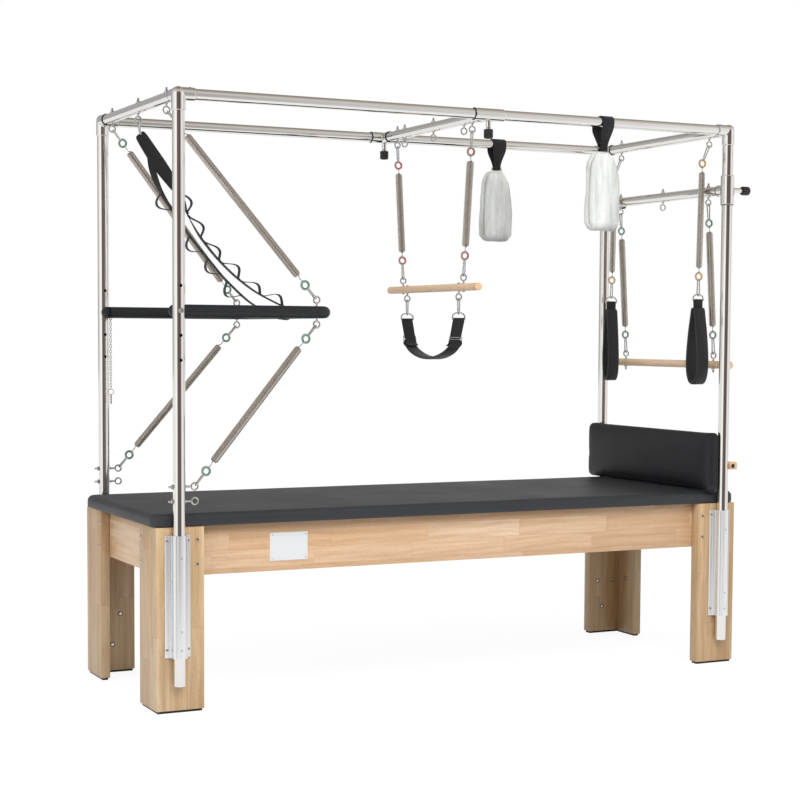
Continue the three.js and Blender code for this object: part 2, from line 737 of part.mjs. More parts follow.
// Two sleeves joined by a cross tube, with eyes below it and a clamp boss on each sleeve
function carriage({ direction, sleeveLength, sleeveRadius, bore, bossLength, bossDirection, eyePlaces }) {
  const bodies = [rod(RAIL_RADIUS, at(0, frontY + sleeveRadius / 2, 0), at(0, backY - sleeveRadius / 2, 0))];
  const cutters = [];
  for (const row of rows) {
    const middle = at(0, row.y, 0);
    const inward = at(0, -row.out, 0);
    const { boss, hole } = bossAndHole(middle, bossDirection, sleeveRadius, bossLength);
    const half = sleeveLength / 2;
    bodies.push(rod(sleeveRadius, moved(middle, direction, -half), moved(middle, direction, half)), boss);
    bodies.push(rod(railSleeveRadius, middle, moved(middle, inward, CARRIAGE_BRANCH)));
    const through = half + OVERRUN;
    cutters.push(rod(bore, moved(middle, direction, -through), moved(middle, direction, through)), hole);
  }
  const bolts = eyePlaces.flatMap((y) => eyeBolt(at(0, y, 0), down, RAIL_RADIUS));
  return cut([...bodies, ...bolts], cutters);
}

// A fluted grip on a collar, with its clamp screw below
function knob(screwLength) {
  const shares = [[0, 0.5], [0.1, 0.5], [0.12, 0.9], [0.2, 1], [0.85, 1], [1, 0.66]];
  const rings = shares.map(([heightShare, radiusShare]) => (
    Array.from({ length: KNOB_POINTS }, (unused, index) => {
      const angle = 2 * Math.PI * index / KNOB_POINTS;
      const radius = (KNOB_RADIUS - (index % 2) * KNOB_FLUTE) * radiusShare;
      return at(radius * Math.cos(angle), radius * Math.sin(angle), KNOB_LENGTH * heightShare);
    })));
  return joined([loft(rings), rod(SCREW_RADIUS, at(0, 0, -screwLength), at(0, 0, FUSE), SCREW_SIDES)]);
}

// Trapeze: carriage, springs, bar and sling, about the carriage's cross tube
const trapeze = groupAt(leftX + TRAPEZE_PLACE, 0, RAIL_HEIGHT);
const spareEyes = rows.map((row) => row.y - row.out * CARRIAGE_SPARE_INSET);
add(trapeze, 'trapeze_carriage', carriage({
  direction: alongX,
  sleeveLength: CARRIAGE_SLEEVE,
  sleeveRadius: railSleeveRadius,
  bore: RAIL_RADIUS + FIT,
  bossLength: TRAPEZE_BOSS,
  bossDirection: down,
  eyePlaces: [...outerEyes, ...spareEyes, 0],
}), steel());

for (const row of rows) {
  const screw = railSleeveRadius + TRAPEZE_BOSS - RAIL_RADIUS;
  const grip = add(trapeze, `carriage_knob_${row.name}`, knob(screw), blackPlastic());
  grip.rotation.x = Math.PI;
  grip.position.set(0, row.y, -(railSleeveRadius + TRAPEZE_BOSS + FIT));
}

const hangingEye = -(RAIL_RADIUS + eyeReach);
const trapezeBarEye = TRAPEZE_BAR_RADIUS + eyeReach - TRAPEZE_BAR_DROP;
for (const row of rows) {
  const top = at(0, row.y - row.out * EYE_INSET, hangingEye);
  const bottom = at(0, row.y - row.out * TRAPEZE_BAR_EYE_INSET, trapezeBarEye);
  const name = `trapeze_spring_${row.name}`;
  add(trapeze, name, eyeToEye(name, top, bottom, HANG_REACH, HANG_CURLS, HANG_NECK), springSteel());
}

function trapezeBar() {
  const reach = backY - TRAPEZE_BAR_INSET;
  const bar = rod(TRAPEZE_BAR_RADIUS, at(0, -reach, 0), at(0, reach, 0));
  const eyes = rows.flatMap((row) => [
    ...eye(at(0, row.y - row.out * TRAPEZE_BAR_EYE_INSET, 0), alongZ, TRAPEZE_BAR_RADIUS, EYE_NECK),
    ...eye(at(0, row.y - row.out * SLING_EYE_INSET, 0), down, TRAPEZE_BAR_RADIUS, EYE_NECK),
  ]);
  return joined([bar, ...eyes]);
}
add(trapeze, 'trapeze_bar', trapezeBar(), beech()).position.z = -TRAPEZE_BAR_DROP;

// Padded sling hung by two links and oval rings from the bar's lower eyes
function sling() {
  const tipLevel = -(TRAPEZE_BAR_RADIUS + eyeReach + eyeSeat);
  const ringLevel = tipLevel - SLING_LINK;
  const straight = SLING_WIDTH - 2 * ARM_RING_RADIUS;
  const hangers = rows.flatMap((row) => {
    const y = row.y - row.out * SLING_EYE_INSET;
    const tip = at(0, y, tipLevel);
    const arc = at(0, y, ringLevel + ARM_RING_RADIUS - ARM_RING_WIRE - LINK_WIRE + FUSE);
    const ring = wireLoop(ARM_RING_RADIUS, ARM_RING_WIRE, straight);
    return [snapLink(tip, arc), orient(ring, at(0, y, ringLevel), alongX, down)];
  });
  const reach = backY - SLING_EYE_INSET;
  const line = Array.from({ length: SLING_SAMPLES + 1 }, (unused, index) => {
    const share = 2 * index / SLING_SAMPLES - 1;
    const drop = SLING_SAG * (1 - Math.abs(share) ** SLING_CURVE_POWER);
    return new THREE.Vector2(reach * share, ringLevel - ARM_RING_RADIUS - drop);
  });
  return joined([...hangers, acrossX(openBand(line, SLING_THICKNESS), SLING_WIDTH)]);
}
add(trapeze, 'trapeze_sling', sling(), webbing()).position.z = -TRAPEZE_BAR_DROP;

// Roll-down bar: a carriage clamped to the right posts, its springs and its wooden bar
const rollDown = groupAt(rightX, 0, RAIL_HEIGHT - ROLL_DOWN_DROP);
add(rollDown, 'roll_down_carriage', carriage({
  direction: alongZ,
  sleeveLength: ROLL_DOWN_SLEEVE,
  sleeveRadius: rollDownSleeveRadius,
  bore: POST_RADIUS + FIT,
  bossLength: ROLL_DOWN_BOSS,
  bossDirection: alongX,
  eyePlaces: [...outerEyes, 0],
}), steel());

const rollDownBarX = POST_RADIUS + ROLL_DOWN_BAR_RADIUS + FIT;
const rollDownBarEye = ROLL_DOWN_BAR_RADIUS + eyeReach - ROLL_DOWN_BAR_DROP;
for (const row of rows) {
  const screw = rollDownSleeveRadius + ROLL_DOWN_BOSS - POST_RADIUS;
  const grip = add(rollDown, `roll_down_knob_${row.name}`, knob(screw), blackPlastic());
  grip.rotation.y = Math.PI / 2;
  grip.position.set(rollDownSleeveRadius + ROLL_DOWN_BOSS + FIT, row.y, 0);
  const y = row.y - row.out * EYE_INSET;
  const bottom = at(rollDownBarX, y, rollDownBarEye);
  const name = `roll_down_spring_${row.name}`;
  const spring = eyeToEye(name, at(0, y, hangingEye), bottom, HANG_REACH, HANG_CURLS, HANG_NECK);
  add(rollDown, name, spring, springSteel());
}

function rollDownBar() {
  const reach = backY - ROLL_DOWN_BAR_INSET;
  const bar = rod(ROLL_DOWN_BAR_RADIUS, at(0, -reach, 0), at(0, reach, 0));
  const eyes = outerEyes.flatMap((y) => eye(at(0, y, 0), alongZ, ROLL_DOWN_BAR_RADIUS, EYE_NECK));
  return joined([bar, ...eyes]);
}
add(rollDown, 'roll_down_bar', rollDownBar(), beech()).position.set(rollDownBarX, 0, -ROLL_DOWN_BAR_DROP);

// Push-through bar: a bent tube on two pins through the left posts
const push = groupAt(leftX, 0, PIVOT_HEIGHT);
function pushBar() {
  const reach = backY - PUSH_BAR_INSET;
  const corners = [at(0, -reach, 0), at(PUSH_BAR_LENGTH, -reach, 0), at(PUSH_BAR_LENGTH, reach, 0),
    at(0, reach, 0)];
  const shapes = [tube(bends(corners, PUSH_BAR_BEND, BEND_STEPS, false), PUSH_BAR_RADIUS, TUBE_SIDES)];
  for (const row of rows) {
    const arm = row.y - row.out * PUSH_BAR_INSET;
    const dome = new THREE.SphereGeometry(PUSH_BAR_RADIUS, TUBE_SIDES, TUBE_SIDES / 2);
    const outside = row.y + row.out * (POST_RADIUS + FIT);
    const head = outside + row.out * PIN_HEAD;
    shapes.push(dome.rotateZ(Math.PI / 2).translate(0, arm, 0));
    shapes.push(rod(PIN_RADIUS, at(0, arm, 0), at(0, head, 0)));
    shapes.push(rod(PIN_HEAD_RADIUS, at(0, outside, 0), at(0, head, 0)));
    const middle = at(PUSH_EYE_PLACE, arm, 0);
    shapes.push(...eye(middle, alongZ, PUSH_BAR_RADIUS, EYE_NECK));
    shapes.push(...eye(middle, down, PUSH_BAR_RADIUS, EYE_NECK));
  }
  return joined(shapes);
}
add(push, 'push_through_bar', pushBar(), coated());

// Springs above and below the bar: each has its link, ring and coil, and a ring and hook at the bar
function pushSpring(name, nearEye, farEye, curls) {
  const direction = towards(nearEye, farEye);
  const nearTip = moved(nearEye, direction, eyeSeat);
  const nearRing = moved(nearTip, direction, PUSH_REACH);
  const farTip = moved(farEye, direction, -eyeSeat);
  const farRing = moved(farTip, direction, -PUSH_REACH);
  const coilEnd = moved(farRing, direction, -(RING_RADIUS + RING_WIRE + FIT));
  const spring = joined([
    snapLink(nearTip, moved(nearRing, direction, -ringSeat)),
    springRing(nearRing, direction),
    coil(name, moved(nearRing, direction, RING_RADIUS), coilEnd, curls, PUSH_NECK),
  ]);
  const hook = joined([springRing(farRing, direction), snapLink(moved(farRing, direction, ringSeat), farTip)]);
  add(push, name, spring, springSteel());
  add(push, name.replace('spring', 'hook'), hook, springSteel());
}

const pushEyeLevel = PUSH_BAR_RADIUS + eyeReach;
for (const row of rows) {
  const arm = row.y - row.out * PUSH_BAR_INSET;
  const crossEye = at(0, row.y - row.out * EYE_INSET, RAIL_HEIGHT + hangingEye - PIVOT_HEIGHT);
  const postEye = at(LOWER_EYE_PLACE, row.y, LOWER_EYE_HEIGHT - PIVOT_HEIGHT);
  const upperEye = at(PUSH_EYE_PLACE, arm, pushEyeLevel);
  const lowerEye = at(PUSH_EYE_PLACE, arm, -pushEyeLevel);
  pushSpring(`push_upper_spring_${row.name}`, crossEye, upperEye, PUSH_UPPER_CURLS);
  pushSpring(`push_lower_spring_${row.name}`, postEye, lowerEye, PUSH_LOWER_CURLS);
}

// Arm springs: each hangs from the right cross-bar past the roll-down tube, with a padded hand loop
const arms = groupAt(rightX, 0, RAIL_HEIGHT);
const armClear = RAIL_RADIUS + COIL_RADIUS + SPRING_WIRE + 2 * FIT;
const armX = (drop) => -armClear - ARM_LEAN * (drop - ROLL_DOWN_DROP);
for (const row of rows) {
  const y = row.y - row.out * EYE_INSET;
  const top = at(0, y, hangingEye);
  const nearRing = at(armX(ARM_RING_DROP), y, -ARM_RING_DROP);
  const farTip = at(armX(ARM_TIP_DROP), y, -ARM_TIP_DROP);
  const nearTip = moved(top, towards(top, nearRing), eyeSeat + FIT / 2);
  const farRing = moved(farTip, towards(nearRing, farTip), -HANG_REACH);
  const name = `arm_spring_${row.name}`;
  add(arms, name, springSet(name, nearTip, nearRing, farRing, farTip, HANG_CURLS, HANG_NECK), springSteel());
}

// The loop hangs turned about its ring's upright axis, its opening towards the bench's ends
function armLoop(turn) {
  const top = -ARM_RING_RADIUS;
  const bottom = ARM_LOOP_THICKNESS / 2 - ARM_LOOP_LENGTH;
  const widthShares = [[0.3, 0], [1, 0.42], [1, 0.86], [0.62, 1]];
  const right = widthShares.map(([x, z]) => [ARM_LOOP_HALF * x, top + (bottom - top) * z]);
  const left = right.map(([x, z]) => [-x, z]).reverse();
  const line = roundedLine([...right, ...left], ARM_LOOP_ROUND, DOME_STEPS);
  const ring = wireLoop(ARM_RING_RADIUS, ARM_RING_WIRE, ARM_RING_STRAIGHT);
  return joined([
    acrossY(closedBand(line, ARM_LOOP_THICKNESS), ARM_LOOP_WIDTH).rotateZ(turn),
    orient(ring, at(0, 0, 0), alongX, alongZ),
  ]);
}
for (const row of rows) {
  const turn = THREE.MathUtils.degToRad(row.name === 'back' ? ARM_LOOP_TURN_BACK : ARM_LOOP_TURN_FRONT);
  const loop = add(arms, `arm_loop_${row.name}`, armLoop(turn), webbing());
  const drop = ARM_TIP_DROP - LINK_WIRE - FIT - ARM_RING_WIRE + ARM_RING_RADIUS;
  loop.position.set(armX(drop), row.y - row.out * EYE_INSET, -drop);
}

// Fleece loops: webbing round the rail, an oval ring and a thick fleece loop below it
function fleeceLoop() {
  const inside = (RAIL_RADIUS + FIT) / Math.cos(Math.PI / TUBE_SIDES);
  const outside = inside + FLEECE_STRAP;
  const half = FLEECE_STRAP_WIDTH / 2;
  const wrap = rod(outside, at(-half, 0, 0), at(half, 0, 0));
  const tail = block(at(-half, -FLEECE_STRAP, -outside + FUSE), at(half, FLEECE_STRAP, -FLEECE_DROP));
  const y = (FLEECE_DEPTH - FLEECE_WALL) / 2;
  const top = -FLEECE_DROP - FLEECE_WALL / 2 + FUSE;
  const bottom = -FLEECE_DROP - FLEECE_LENGTH + FLEECE_WALL / 2;
  const line = roundedLine([[y, bottom], [y, top], [-y, top], [-y, bottom]], FLEECE_ROUND, DOME_STEPS);
  const ring = wireLoop(FLEECE_RING_RADIUS, ARM_RING_WIRE, FLEECE_RING_STRAIGHT);
  return cut([wrap, tail, acrossX(closedBand(line, FLEECE_WALL), FLEECE_WIDTH),
    orient(ring, at(0, 0, -FLEECE_DROP), alongX, alongZ)],
  [rod(inside, at(-half - OVERRUN, 0, 0), at(half + OVERRUN, 0, 0))]);
}
const fleecePlaces = { front: FLEECE_PLACE_FRONT, back: FLEECE_PLACE_BACK };
for (const row of rows) {
  const place = groupAt(leftX + fleecePlaces[row.name], row.y, RAIL_HEIGHT);
  add(place, `fleece_loop_${row.name}`, fleeceLoop(), fleece());
}

// Stretching strap: both strands from the cross-bar's middle eye round the push-through bar
function stretchStrap() {
  const wrapRadius = PUSH_BAR_RADIUS + FIT + STRAP_THICKNESS;
  const strand = RAIL_HEIGHT + hangingEye - PIVOT_HEIGHT - STRAP_LINK;
  const upperShares = [[0.03, 1], [0.12, 0.9], [0.24, 0.76], [0.34, 0.62], [0.45, 0.5], [0.6, 0.32],
    [0.8, 0.15]];
  const lowerShares = [[0.74, 0.03], [0.57, 0.17], [0.42, 0.32], [0.28, 0.47], [0.18, 0.6], [0.1, 0.74],
    [0.05, 0.88], [0, 0.97]];
  const scaled = ([x, z]) => [x * PUSH_BAR_LENGTH, z * strand];
  const wrap = Array.from({ length: STRAP_WRAP_STEPS + 1 }, (unused, index) => {
    const angle = Math.PI * (STRAP_WRAP_START_SHARE - STRAP_WRAP_SHARE * index / STRAP_WRAP_STEPS);
    return [PUSH_BAR_LENGTH + wrapRadius * Math.cos(angle), wrapRadius * Math.sin(angle)];
  });
  const route = [...upperShares.map(scaled), ...wrap, ...lowerShares.map(scaled)];
  const last = route.length - 1;
  const corners = route.map(([x, z], index) => [x, z, index > 0 && index < last]);
  const line = roundedLine(corners, STRAP_FOLD_ROUND, DOME_STEPS);
  const foldPoint = at((route[0][0] + route[last][0]) / 2, 0, (route[0][1] + route[last][1]) / 2);
  const eyeCentre = at(0, 0, strand + STRAP_LINK);
  const tip = moved(eyeCentre, towards(eyeCentre, foldPoint), eyeSeat);
  return joined([acrossY(closedBand(line, STRAP_THICKNESS), STRAP_WIDTH), snapLink(tip, foldPoint)]);
}
add(push, 'looped_strap', stretchStrap(), webbing());

// The origin is on the floor under the middle of the whole table
const bounds = new THREE.Box3().setFromObject(table);
const middle = bounds.getCenter(new THREE.Vector3());
for (const piece of table.children) {
  piece.position.sub(at(middle.x, middle.y, bounds.min.z));
}

export default table;
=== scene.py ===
import math

import bmesh
import bpy
import numpy as np
from mathutils import Matrix, Vector, noise


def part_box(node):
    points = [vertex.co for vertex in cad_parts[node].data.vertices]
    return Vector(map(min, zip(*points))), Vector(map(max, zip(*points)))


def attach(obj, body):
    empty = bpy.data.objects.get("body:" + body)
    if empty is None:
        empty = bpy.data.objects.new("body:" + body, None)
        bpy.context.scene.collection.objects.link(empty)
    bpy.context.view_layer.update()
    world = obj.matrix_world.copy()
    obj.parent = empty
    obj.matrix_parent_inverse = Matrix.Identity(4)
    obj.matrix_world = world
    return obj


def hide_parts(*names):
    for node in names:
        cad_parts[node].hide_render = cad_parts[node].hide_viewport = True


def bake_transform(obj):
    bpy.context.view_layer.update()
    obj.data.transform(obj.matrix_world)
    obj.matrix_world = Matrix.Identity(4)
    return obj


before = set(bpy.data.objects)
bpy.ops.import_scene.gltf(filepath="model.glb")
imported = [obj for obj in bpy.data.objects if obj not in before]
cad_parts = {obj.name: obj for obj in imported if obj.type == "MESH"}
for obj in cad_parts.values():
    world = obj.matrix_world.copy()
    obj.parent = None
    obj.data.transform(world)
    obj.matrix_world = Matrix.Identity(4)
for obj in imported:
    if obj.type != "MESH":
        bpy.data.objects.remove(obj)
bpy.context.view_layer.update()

# The camera stands at the photograph's place: low in front of the left end, looking along the
# bench towards the roll-down end. The view is level apart from a slight downward tilt.
scene = bpy.context.scene
scene.view_settings.view_transform = "Standard"
CAMERA_PLACE = Vector((-3.01375, -6.0107, 1.2771))
CAMERA_YAW, CAMERA_PITCH, CAMERA_ROLL = 0.4579, 0.0605, 0.0058
ahead = Vector((math.sin(CAMERA_YAW) * math.cos(CAMERA_PITCH),
                math.cos(CAMERA_YAW) * math.cos(CAMERA_PITCH), -math.sin(CAMERA_PITCH)))
level = Vector((math.cos(CAMERA_YAW), -math.sin(CAMERA_YAW), 0))
plumb = level.cross(ahead)
across = level * math.cos(CAMERA_ROLL) + plumb * math.sin(CAMERA_ROLL)
upward = plumb * math.cos(CAMERA_ROLL) - level * math.sin(CAMERA_ROLL)
lens = bpy.data.cameras.new("studio_camera")
lens.sensor_width, lens.lens, lens.clip_end = 36, 79.38, 120
lens.shift_x, lens.shift_y = -0.0101, 0.0509
camera = bpy.data.objects.new("studio_camera", lens)
scene.collection.objects.link(camera)
camera.matrix_world = Matrix.Translation(CAMERA_PLACE) @ Matrix((across, upward, -ahead)).transposed().to_4x4()
scene.camera = camera


# The studio: even light from all round, a large soft lamp above the front and a weaker one at the
# left end, over a white floor. Polished tube reflects the light and dark parts of the room's walls.
def add_node(tree, kind, inputs=None, **settings):
    """A shader node with its settings, each input a plain value or another node's output."""
    made = tree.nodes.new("ShaderNode" + kind)
    for label, value in settings.items():
        setattr(made, label, value)
    for label, value in (inputs or {}).items():
        if isinstance(value, bpy.types.NodeSocket):
            tree.links.new(value, made.inputs[label])
        else:
            made.inputs[label].default_value = value
    return made


def maths(operation, *values):
    """A maths node's result, in the tree of the sockets among its values."""
    tree = next(value.id_data for value in values if isinstance(value, bpy.types.NodeSocket))
    return add_node(tree, "Math", dict(enumerate(values)), operation=operation).outputs["Value"]


def spread(value, low, high, to_low=0.0, to_high=1.0):
    """The value's place between low and high, as a place between the other two."""
    return add_node(value.id_data, "MapRange", {"Value": value, "From Min": low, "From Max": high, "To Min": to_low,
                                                "To Max": to_high}).outputs["Result"]


def mixed(tree, share, first, second, **settings):
    """A mix of two colours."""
    return add_node(tree, "Mix", {"Factor": share, "A": first, "B": second}, data_type="RGBA",
                    **settings).outputs["Result"]


def ramp(value, stops):
    """A colour ramp of grey or coloured stops along the value."""
    made = add_node(value.id_data, "ValToRGB", {"Fac": value})
    band = made.color_ramp
    while len(band.elements) < len(stops):
        band.elements.new(0.5)
    for element, (place, shown) in zip(band.elements, stops):
        element.position = place
        element.color = (shown, shown, shown, 1) if isinstance(shown, (int, float)) else shown
    return made.outputs["Color"]


def bare_object(name, points, faces):
    """An object of plain points and faces."""
    mesh = bpy.data.meshes.new(name)
    mesh.from_pydata(points, [], faces)
    made = bpy.data.objects.new(name, mesh)
    scene.collection.objects.link(made)
    return made


air = bpy.data.worlds.new("studio_air")
air.use_nodes = True
scene.world = air
tree = air.node_tree
tree.nodes.clear()
direction = add_node(tree, "TexCoord").outputs["Generated"]
behind, beside = [add_node(tree, "VectorMath", {0: direction, 1: way}, operation="DOT_PRODUCT").outputs["Value"]
                  for way in ((-math.sin(CAMERA_YAW), -math.cos(CAMERA_YAW), 0), tuple(level))]
walls = ramp(spread(maths("ARCTAN2", beside, behind), -math.pi, math.pi), [
    (0.0, 0.4), (0.12, 0.38), (0.2, 0.5), (0.29, 0.82), (0.35, 1.0), (0.43, 1.0), (0.45, (0.12, 0.085, 0.08, 1)),
    (0.53, (0.16, 0.125, 0.12, 1)), (0.56, (0.1, 0.075, 0.07, 1)), (0.605, (0.1, 0.075, 0.07, 1)),
    (0.635, 0.52), (0.7, 1.0), (0.77, (0.6, 0.56, 0.55, 1)), (0.85, 0.95), (1.0, 0.5)])
height = add_node(tree, "SeparateXYZ", {"Vector": direction}).outputs["Z"]
ceiling = mixed(tree, spread(behind, -0.5, 0.1, 0.35), (0.16, 0.14, 0.12, 1), ramp(height, [
    (0.3, 0.62), (0.6, (0.62, 0.59, 0.56, 1)), (0.86, (0.5, 0.47, 0.43, 1)), (1.0, (0.2, 0.17, 0.14, 1))]))
panorama = mixed(tree, spread(height, 0.25, 0.6), walls, ceiling)
path = add_node(tree, "LightPath").outputs
ambient, reflected, backdrop = [
    add_node(tree, "Background", {"Color": colour, "Strength": strength}).outputs[0]
    for colour, strength in (((0.97, 0.985, 1, 1), 0.62), (panorama, 1.2), ((1, 1, 1, 1), 1.0))]
lit = add_node(tree, "MixShader", {0: path["Is Glossy Ray"], 1: ambient, 2: reflected}).outputs[0]
seen = maths("MAXIMUM", path["Is Camera Ray"], path["Is Transmission Ray"])
add_node(tree, "OutputWorld", {"Surface": add_node(tree, "MixShader", {0: seen, 1: lit, 2: backdrop}).outputs[0]})

for name, place, aim, size, power in (("lamp_overhead", (-0.6, -3.6, 3.7), (0, 0, 0.9), 3.2, 165),
                                      ("lamp_left", (-4.6, -1.6, 2.4), (-0.6, 0, 0.9), 2.0, 46)):
    lamp = bpy.data.lights.new(name, "AREA")
    lamp.shape, lamp.size, lamp.energy = "DISK", size, power
    lamp_stand = bpy.data.objects.new(name, lamp)
    scene.collection.objects.link(lamp_stand)
    lamp_stand.location = place
    lamp_stand.rotation_euler = (Vector(aim) - Vector(place)).to_track_quat("-Z", "Y").to_euler()
    lamp_stand.visible_glossy = False

FLOOR_REACH, FLOOR_FRONT, FLOOR_DROP = 40, -2.6, -0.0006
floor = bare_object("studio_floor", [(-FLOOR_REACH, FLOOR_FRONT, FLOOR_DROP), (FLOOR_REACH, FLOOR_FRONT, FLOOR_DROP),
                                     (FLOOR_REACH, FLOOR_REACH, FLOOR_DROP),
                                     (-FLOOR_REACH, FLOOR_REACH, FLOOR_DROP)], [(0, 1, 2, 3)])
paper = bpy.data.materials.new("white_paper")
paper.use_nodes = True
tree = paper.node_tree
tree.nodes.clear()
path = add_node(tree, "LightPath").outputs
shade = add_node(tree, "BsdfDiffuse", {"Color": (0.9, 0.9, 0.9, 1)}).outputs[0]
glow = add_node(tree, "Emission", {"Color": (1, 1, 1, 1), "Strength": 1.09}).outputs[0]
shown = maths("MAXIMUM", maths("MAXIMUM", path["Is Camera Ray"], path["Is Glossy Ray"]), path["Is Transmission Ray"])
add_node(tree, "OutputMaterial", {"Surface": add_node(
    tree, "MixShader", {0: maths("MULTIPLY", shown, 0.84), 1: shade, 2: glow}).outputs[0]})
floor.data.materials.append(paper)


# Rubber foot pads: two bevelled strips of black rubber under each corner leg, a little smaller than
# the boards above them, so that a dark line shows round the foot.
LEFT_POST, RIGHT_POST, SIDE_POST = -1.11215, 1.09585, 0.433
ROWS = (("front", -1), ("back", 1))
corners = [(f"{row}_{end}", x, out_y * SIDE_POST, out_x, out_y)
           for end, x, out_x in (("left", LEFT_POST, -1), ("right", RIGHT_POST, 1)) for row, out_y in ROWS]


def tone(code):
    """A hex colour as the linear values that a shader socket takes."""
    parts = [int(code[place:place + 2], 16) / 255 for place in (1, 3, 5)]
    return [part / 12.92 if part <= 0.04045 else ((part + 0.055) / 1.055) ** 2.4 for part in parts] + [1.0]


def effect(name, inputs, outputs):
    """A node group: numbers go in with their values, a vector as None, and a colour or numbers come out."""
    group = bpy.data.node_groups.new(name, "ShaderNodeTree")
    for label, value in inputs.items():
        socket = group.interface.new_socket(label, in_out="INPUT", socket_type="NodeSocketVector" if value is None
                                            else "NodeSocketFloat")
        if value is not None:
            socket.default_value = value
    for label in outputs:
        group.interface.new_socket(label, in_out="OUTPUT", socket_type="NodeSocketColor" if label == "Color"
                                   else "NodeSocketFloat")
    return group, group.nodes.new("NodeGroupInput").outputs, group.nodes.new("NodeGroupOutput").inputs


def give(result, **values):
    """The group's results linked to its output."""
    for label, value in values.items():
        value.id_data.links.new(value, result[label])


def clouded(vector, scale, detail, **more):
    """A noise texture's value at a place."""
    return add_node(vector.id_data, "TexNoise", {"Vector": vector, "Scale": scale, "Detail": detail,
                                                 **more}).outputs["Fac"]


# Handling marks: broad uneven tone, fine grain for the bump, and a sparse mask of dust
marks, given, result = effect("handling_marks", {"Vector": None, "Broad": 6.0, "Fine": 700.0},
                              ("Tone", "Height", "Dust"))
give(result, Tone=clouded(given["Vector"], given["Broad"], 5.0), Height=clouded(given["Vector"], given["Fine"], 2.0),
     Dust=spread(clouded(given["Vector"], given["Fine"], 0.0), 0.66, 0.74))


def finish(name, group, feed, colour, rough, bump, depth, **surface):
    """A material over one effect. Feed makes the effect's inputs; colour and rough read its results."""
    material = bpy.data.materials.new(name)
    material.use_nodes = True
    tree = material.node_tree
    skin = tree.nodes["Principled BSDF"]
    done = add_node(tree, "Group", feed(tree), node_tree=group).outputs
    raised = add_node(tree, "Bump", {"Height": done["Height"], "Strength": bump, "Distance": depth})
    for label, value in (("Base Color", colour(tree, done)), ("Roughness", rough(done)),
                         ("Normal", raised.outputs["Normal"])):
        tree.links.new(value, skin.inputs[label])
    for label, value in surface.items():
        skin.inputs[label.replace("_", " ")].default_value = value
    return material


def at_place(tree):
    """The effect's vector: the place on the object."""
    return {"Vector": add_node(tree, "TexCoord").outputs["Object"]}


def plain_finish(name, dark, light, rough, bump, broad=6.0, fine=700.0, depth=0.0003, stretch=(1, 1, 1),
                 dust=0.0, **surface):
    """A moulded, rubber, painted or metal finish with uneven tone, grain and dust."""
    def feed(tree):
        place = add_node(tree, "Mapping", at_place(tree) | {"Scale": stretch}).outputs["Vector"]
        return {"Vector": place, "Broad": broad, "Fine": fine}

    def colour(tree, done):
        clean = mixed(tree, done["Tone"], tone(dark), tone(light))
        return mixed(tree, maths("MULTIPLY", done["Dust"], dust), clean, tone("#8d8b86")) if dust else clean

    return finish(name, marks, feed, colour, lambda done: spread(done["Tone"], 0.3, 0.7, *rough), bump, depth,
                  **surface)


foot_rubber = plain_finish("foot_rubber", "#141415", "#232325", (0.7, 0.85), 0.5, dust=0.25)


def bevelled_block(low, high, edge, number=0, steps=2):
    """A sawn block with eased edges, as (points, faces, number of its finish, None)."""
    shell = bmesh.new()
    bmesh.ops.create_cube(shell, size=1)
    low, high = Vector(np.minimum(low, high)), Vector(np.maximum(low, high))
    for corner in shell.verts:
        corner.co = [low[k] + (corner.co[k] + 0.5) * (high[k] - low[k]) for k in range(3)]
    bmesh.ops.bevel(shell, geom=shell.edges[:], offset=edge, segments=steps, profile=0.5, affect="EDGES")
    shell.verts.index_update()
    points = [corner.co[:] for corner in shell.verts]
    faces = [[corner.index for corner in side.verts] for side in shell.faces]
    shell.free()
    return points, faces, number, None


def merged(shapes):
    """The points, faces, numbers and runs of several shapes as one."""
    points, faces, numbers, runs = [], [], [], []
    for its_points, its_faces, number, its_runs in shapes:
        faces.extend([index + len(points) for index in face] for face in its_faces)
        points.extend(tuple(point) for point in its_points)
        numbers.extend([number] * len(its_faces))
        runs.extend(its_runs if its_runs is not None else [(0, 0, 0)] * len(its_points))
    return points, faces, numbers, runs


def smoothed(mesh, crease=35):
    """Smooth shading with sharp edges above the crease angle."""
    mesh.polygons.foreach_set("use_smooth", [True] * len(mesh.polygons))
    mesh.set_sharp_from_angle(angle=math.radians(crease))


def piece(name, shapes, finishes, body, nodes=(), crease=35):
    """One mesh piece of several shapes. It rides on the body and stands for the CAD nodes."""
    points, faces, numbers, runs = merged(shapes)
    made = bare_object(name, points, faces)
    mesh = made.data
    for material in finishes:
        mesh.materials.append(material)
    mesh.polygons.foreach_set("material_index", numbers)
    mesh.attributes.new("run", "FLOAT_VECTOR", "POINT").data.foreach_set("vector", np.array(runs, float).ravel())
    shell = bmesh.new()
    shell.from_mesh(mesh)
    bmesh.ops.remove_doubles(shell, verts=shell.verts, dist=2e-7)
    bmesh.ops.recalc_face_normals(shell, faces=shell.faces)
    shell.to_mesh(mesh)
    shell.free()
    smoothed(mesh, crease)
    if body:
        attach(made, body)
    if nodes:
        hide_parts(*nodes)
    return made


LEG_FACE, LEG_BOARD_END, LEG_END_REACH, PAD_INSET, PAD_TOP = 0.0215, 0.066, 0.2015, 0.006, 0.0082
for place, x, y, out_x, out_y in corners:
    strips = [bevelled_block((x + out_x * 0.068, y - out_y * (near + PAD_INSET), 0),
                             (x + out_x * reach, y - out_y * (far - PAD_INSET), PAD_TOP), 0.0018)
              for near, reach, far in ((LEG_FACE, -0.09, LEG_BOARD_END),
                                       (LEG_BOARD_END - 2 * PAD_INSET, 0.046, LEG_END_REACH))]
    piece(f"foot_strips_{place}", strips, [foot_rubber], "bench_and_frame", [f"foot_pad_{place}"])


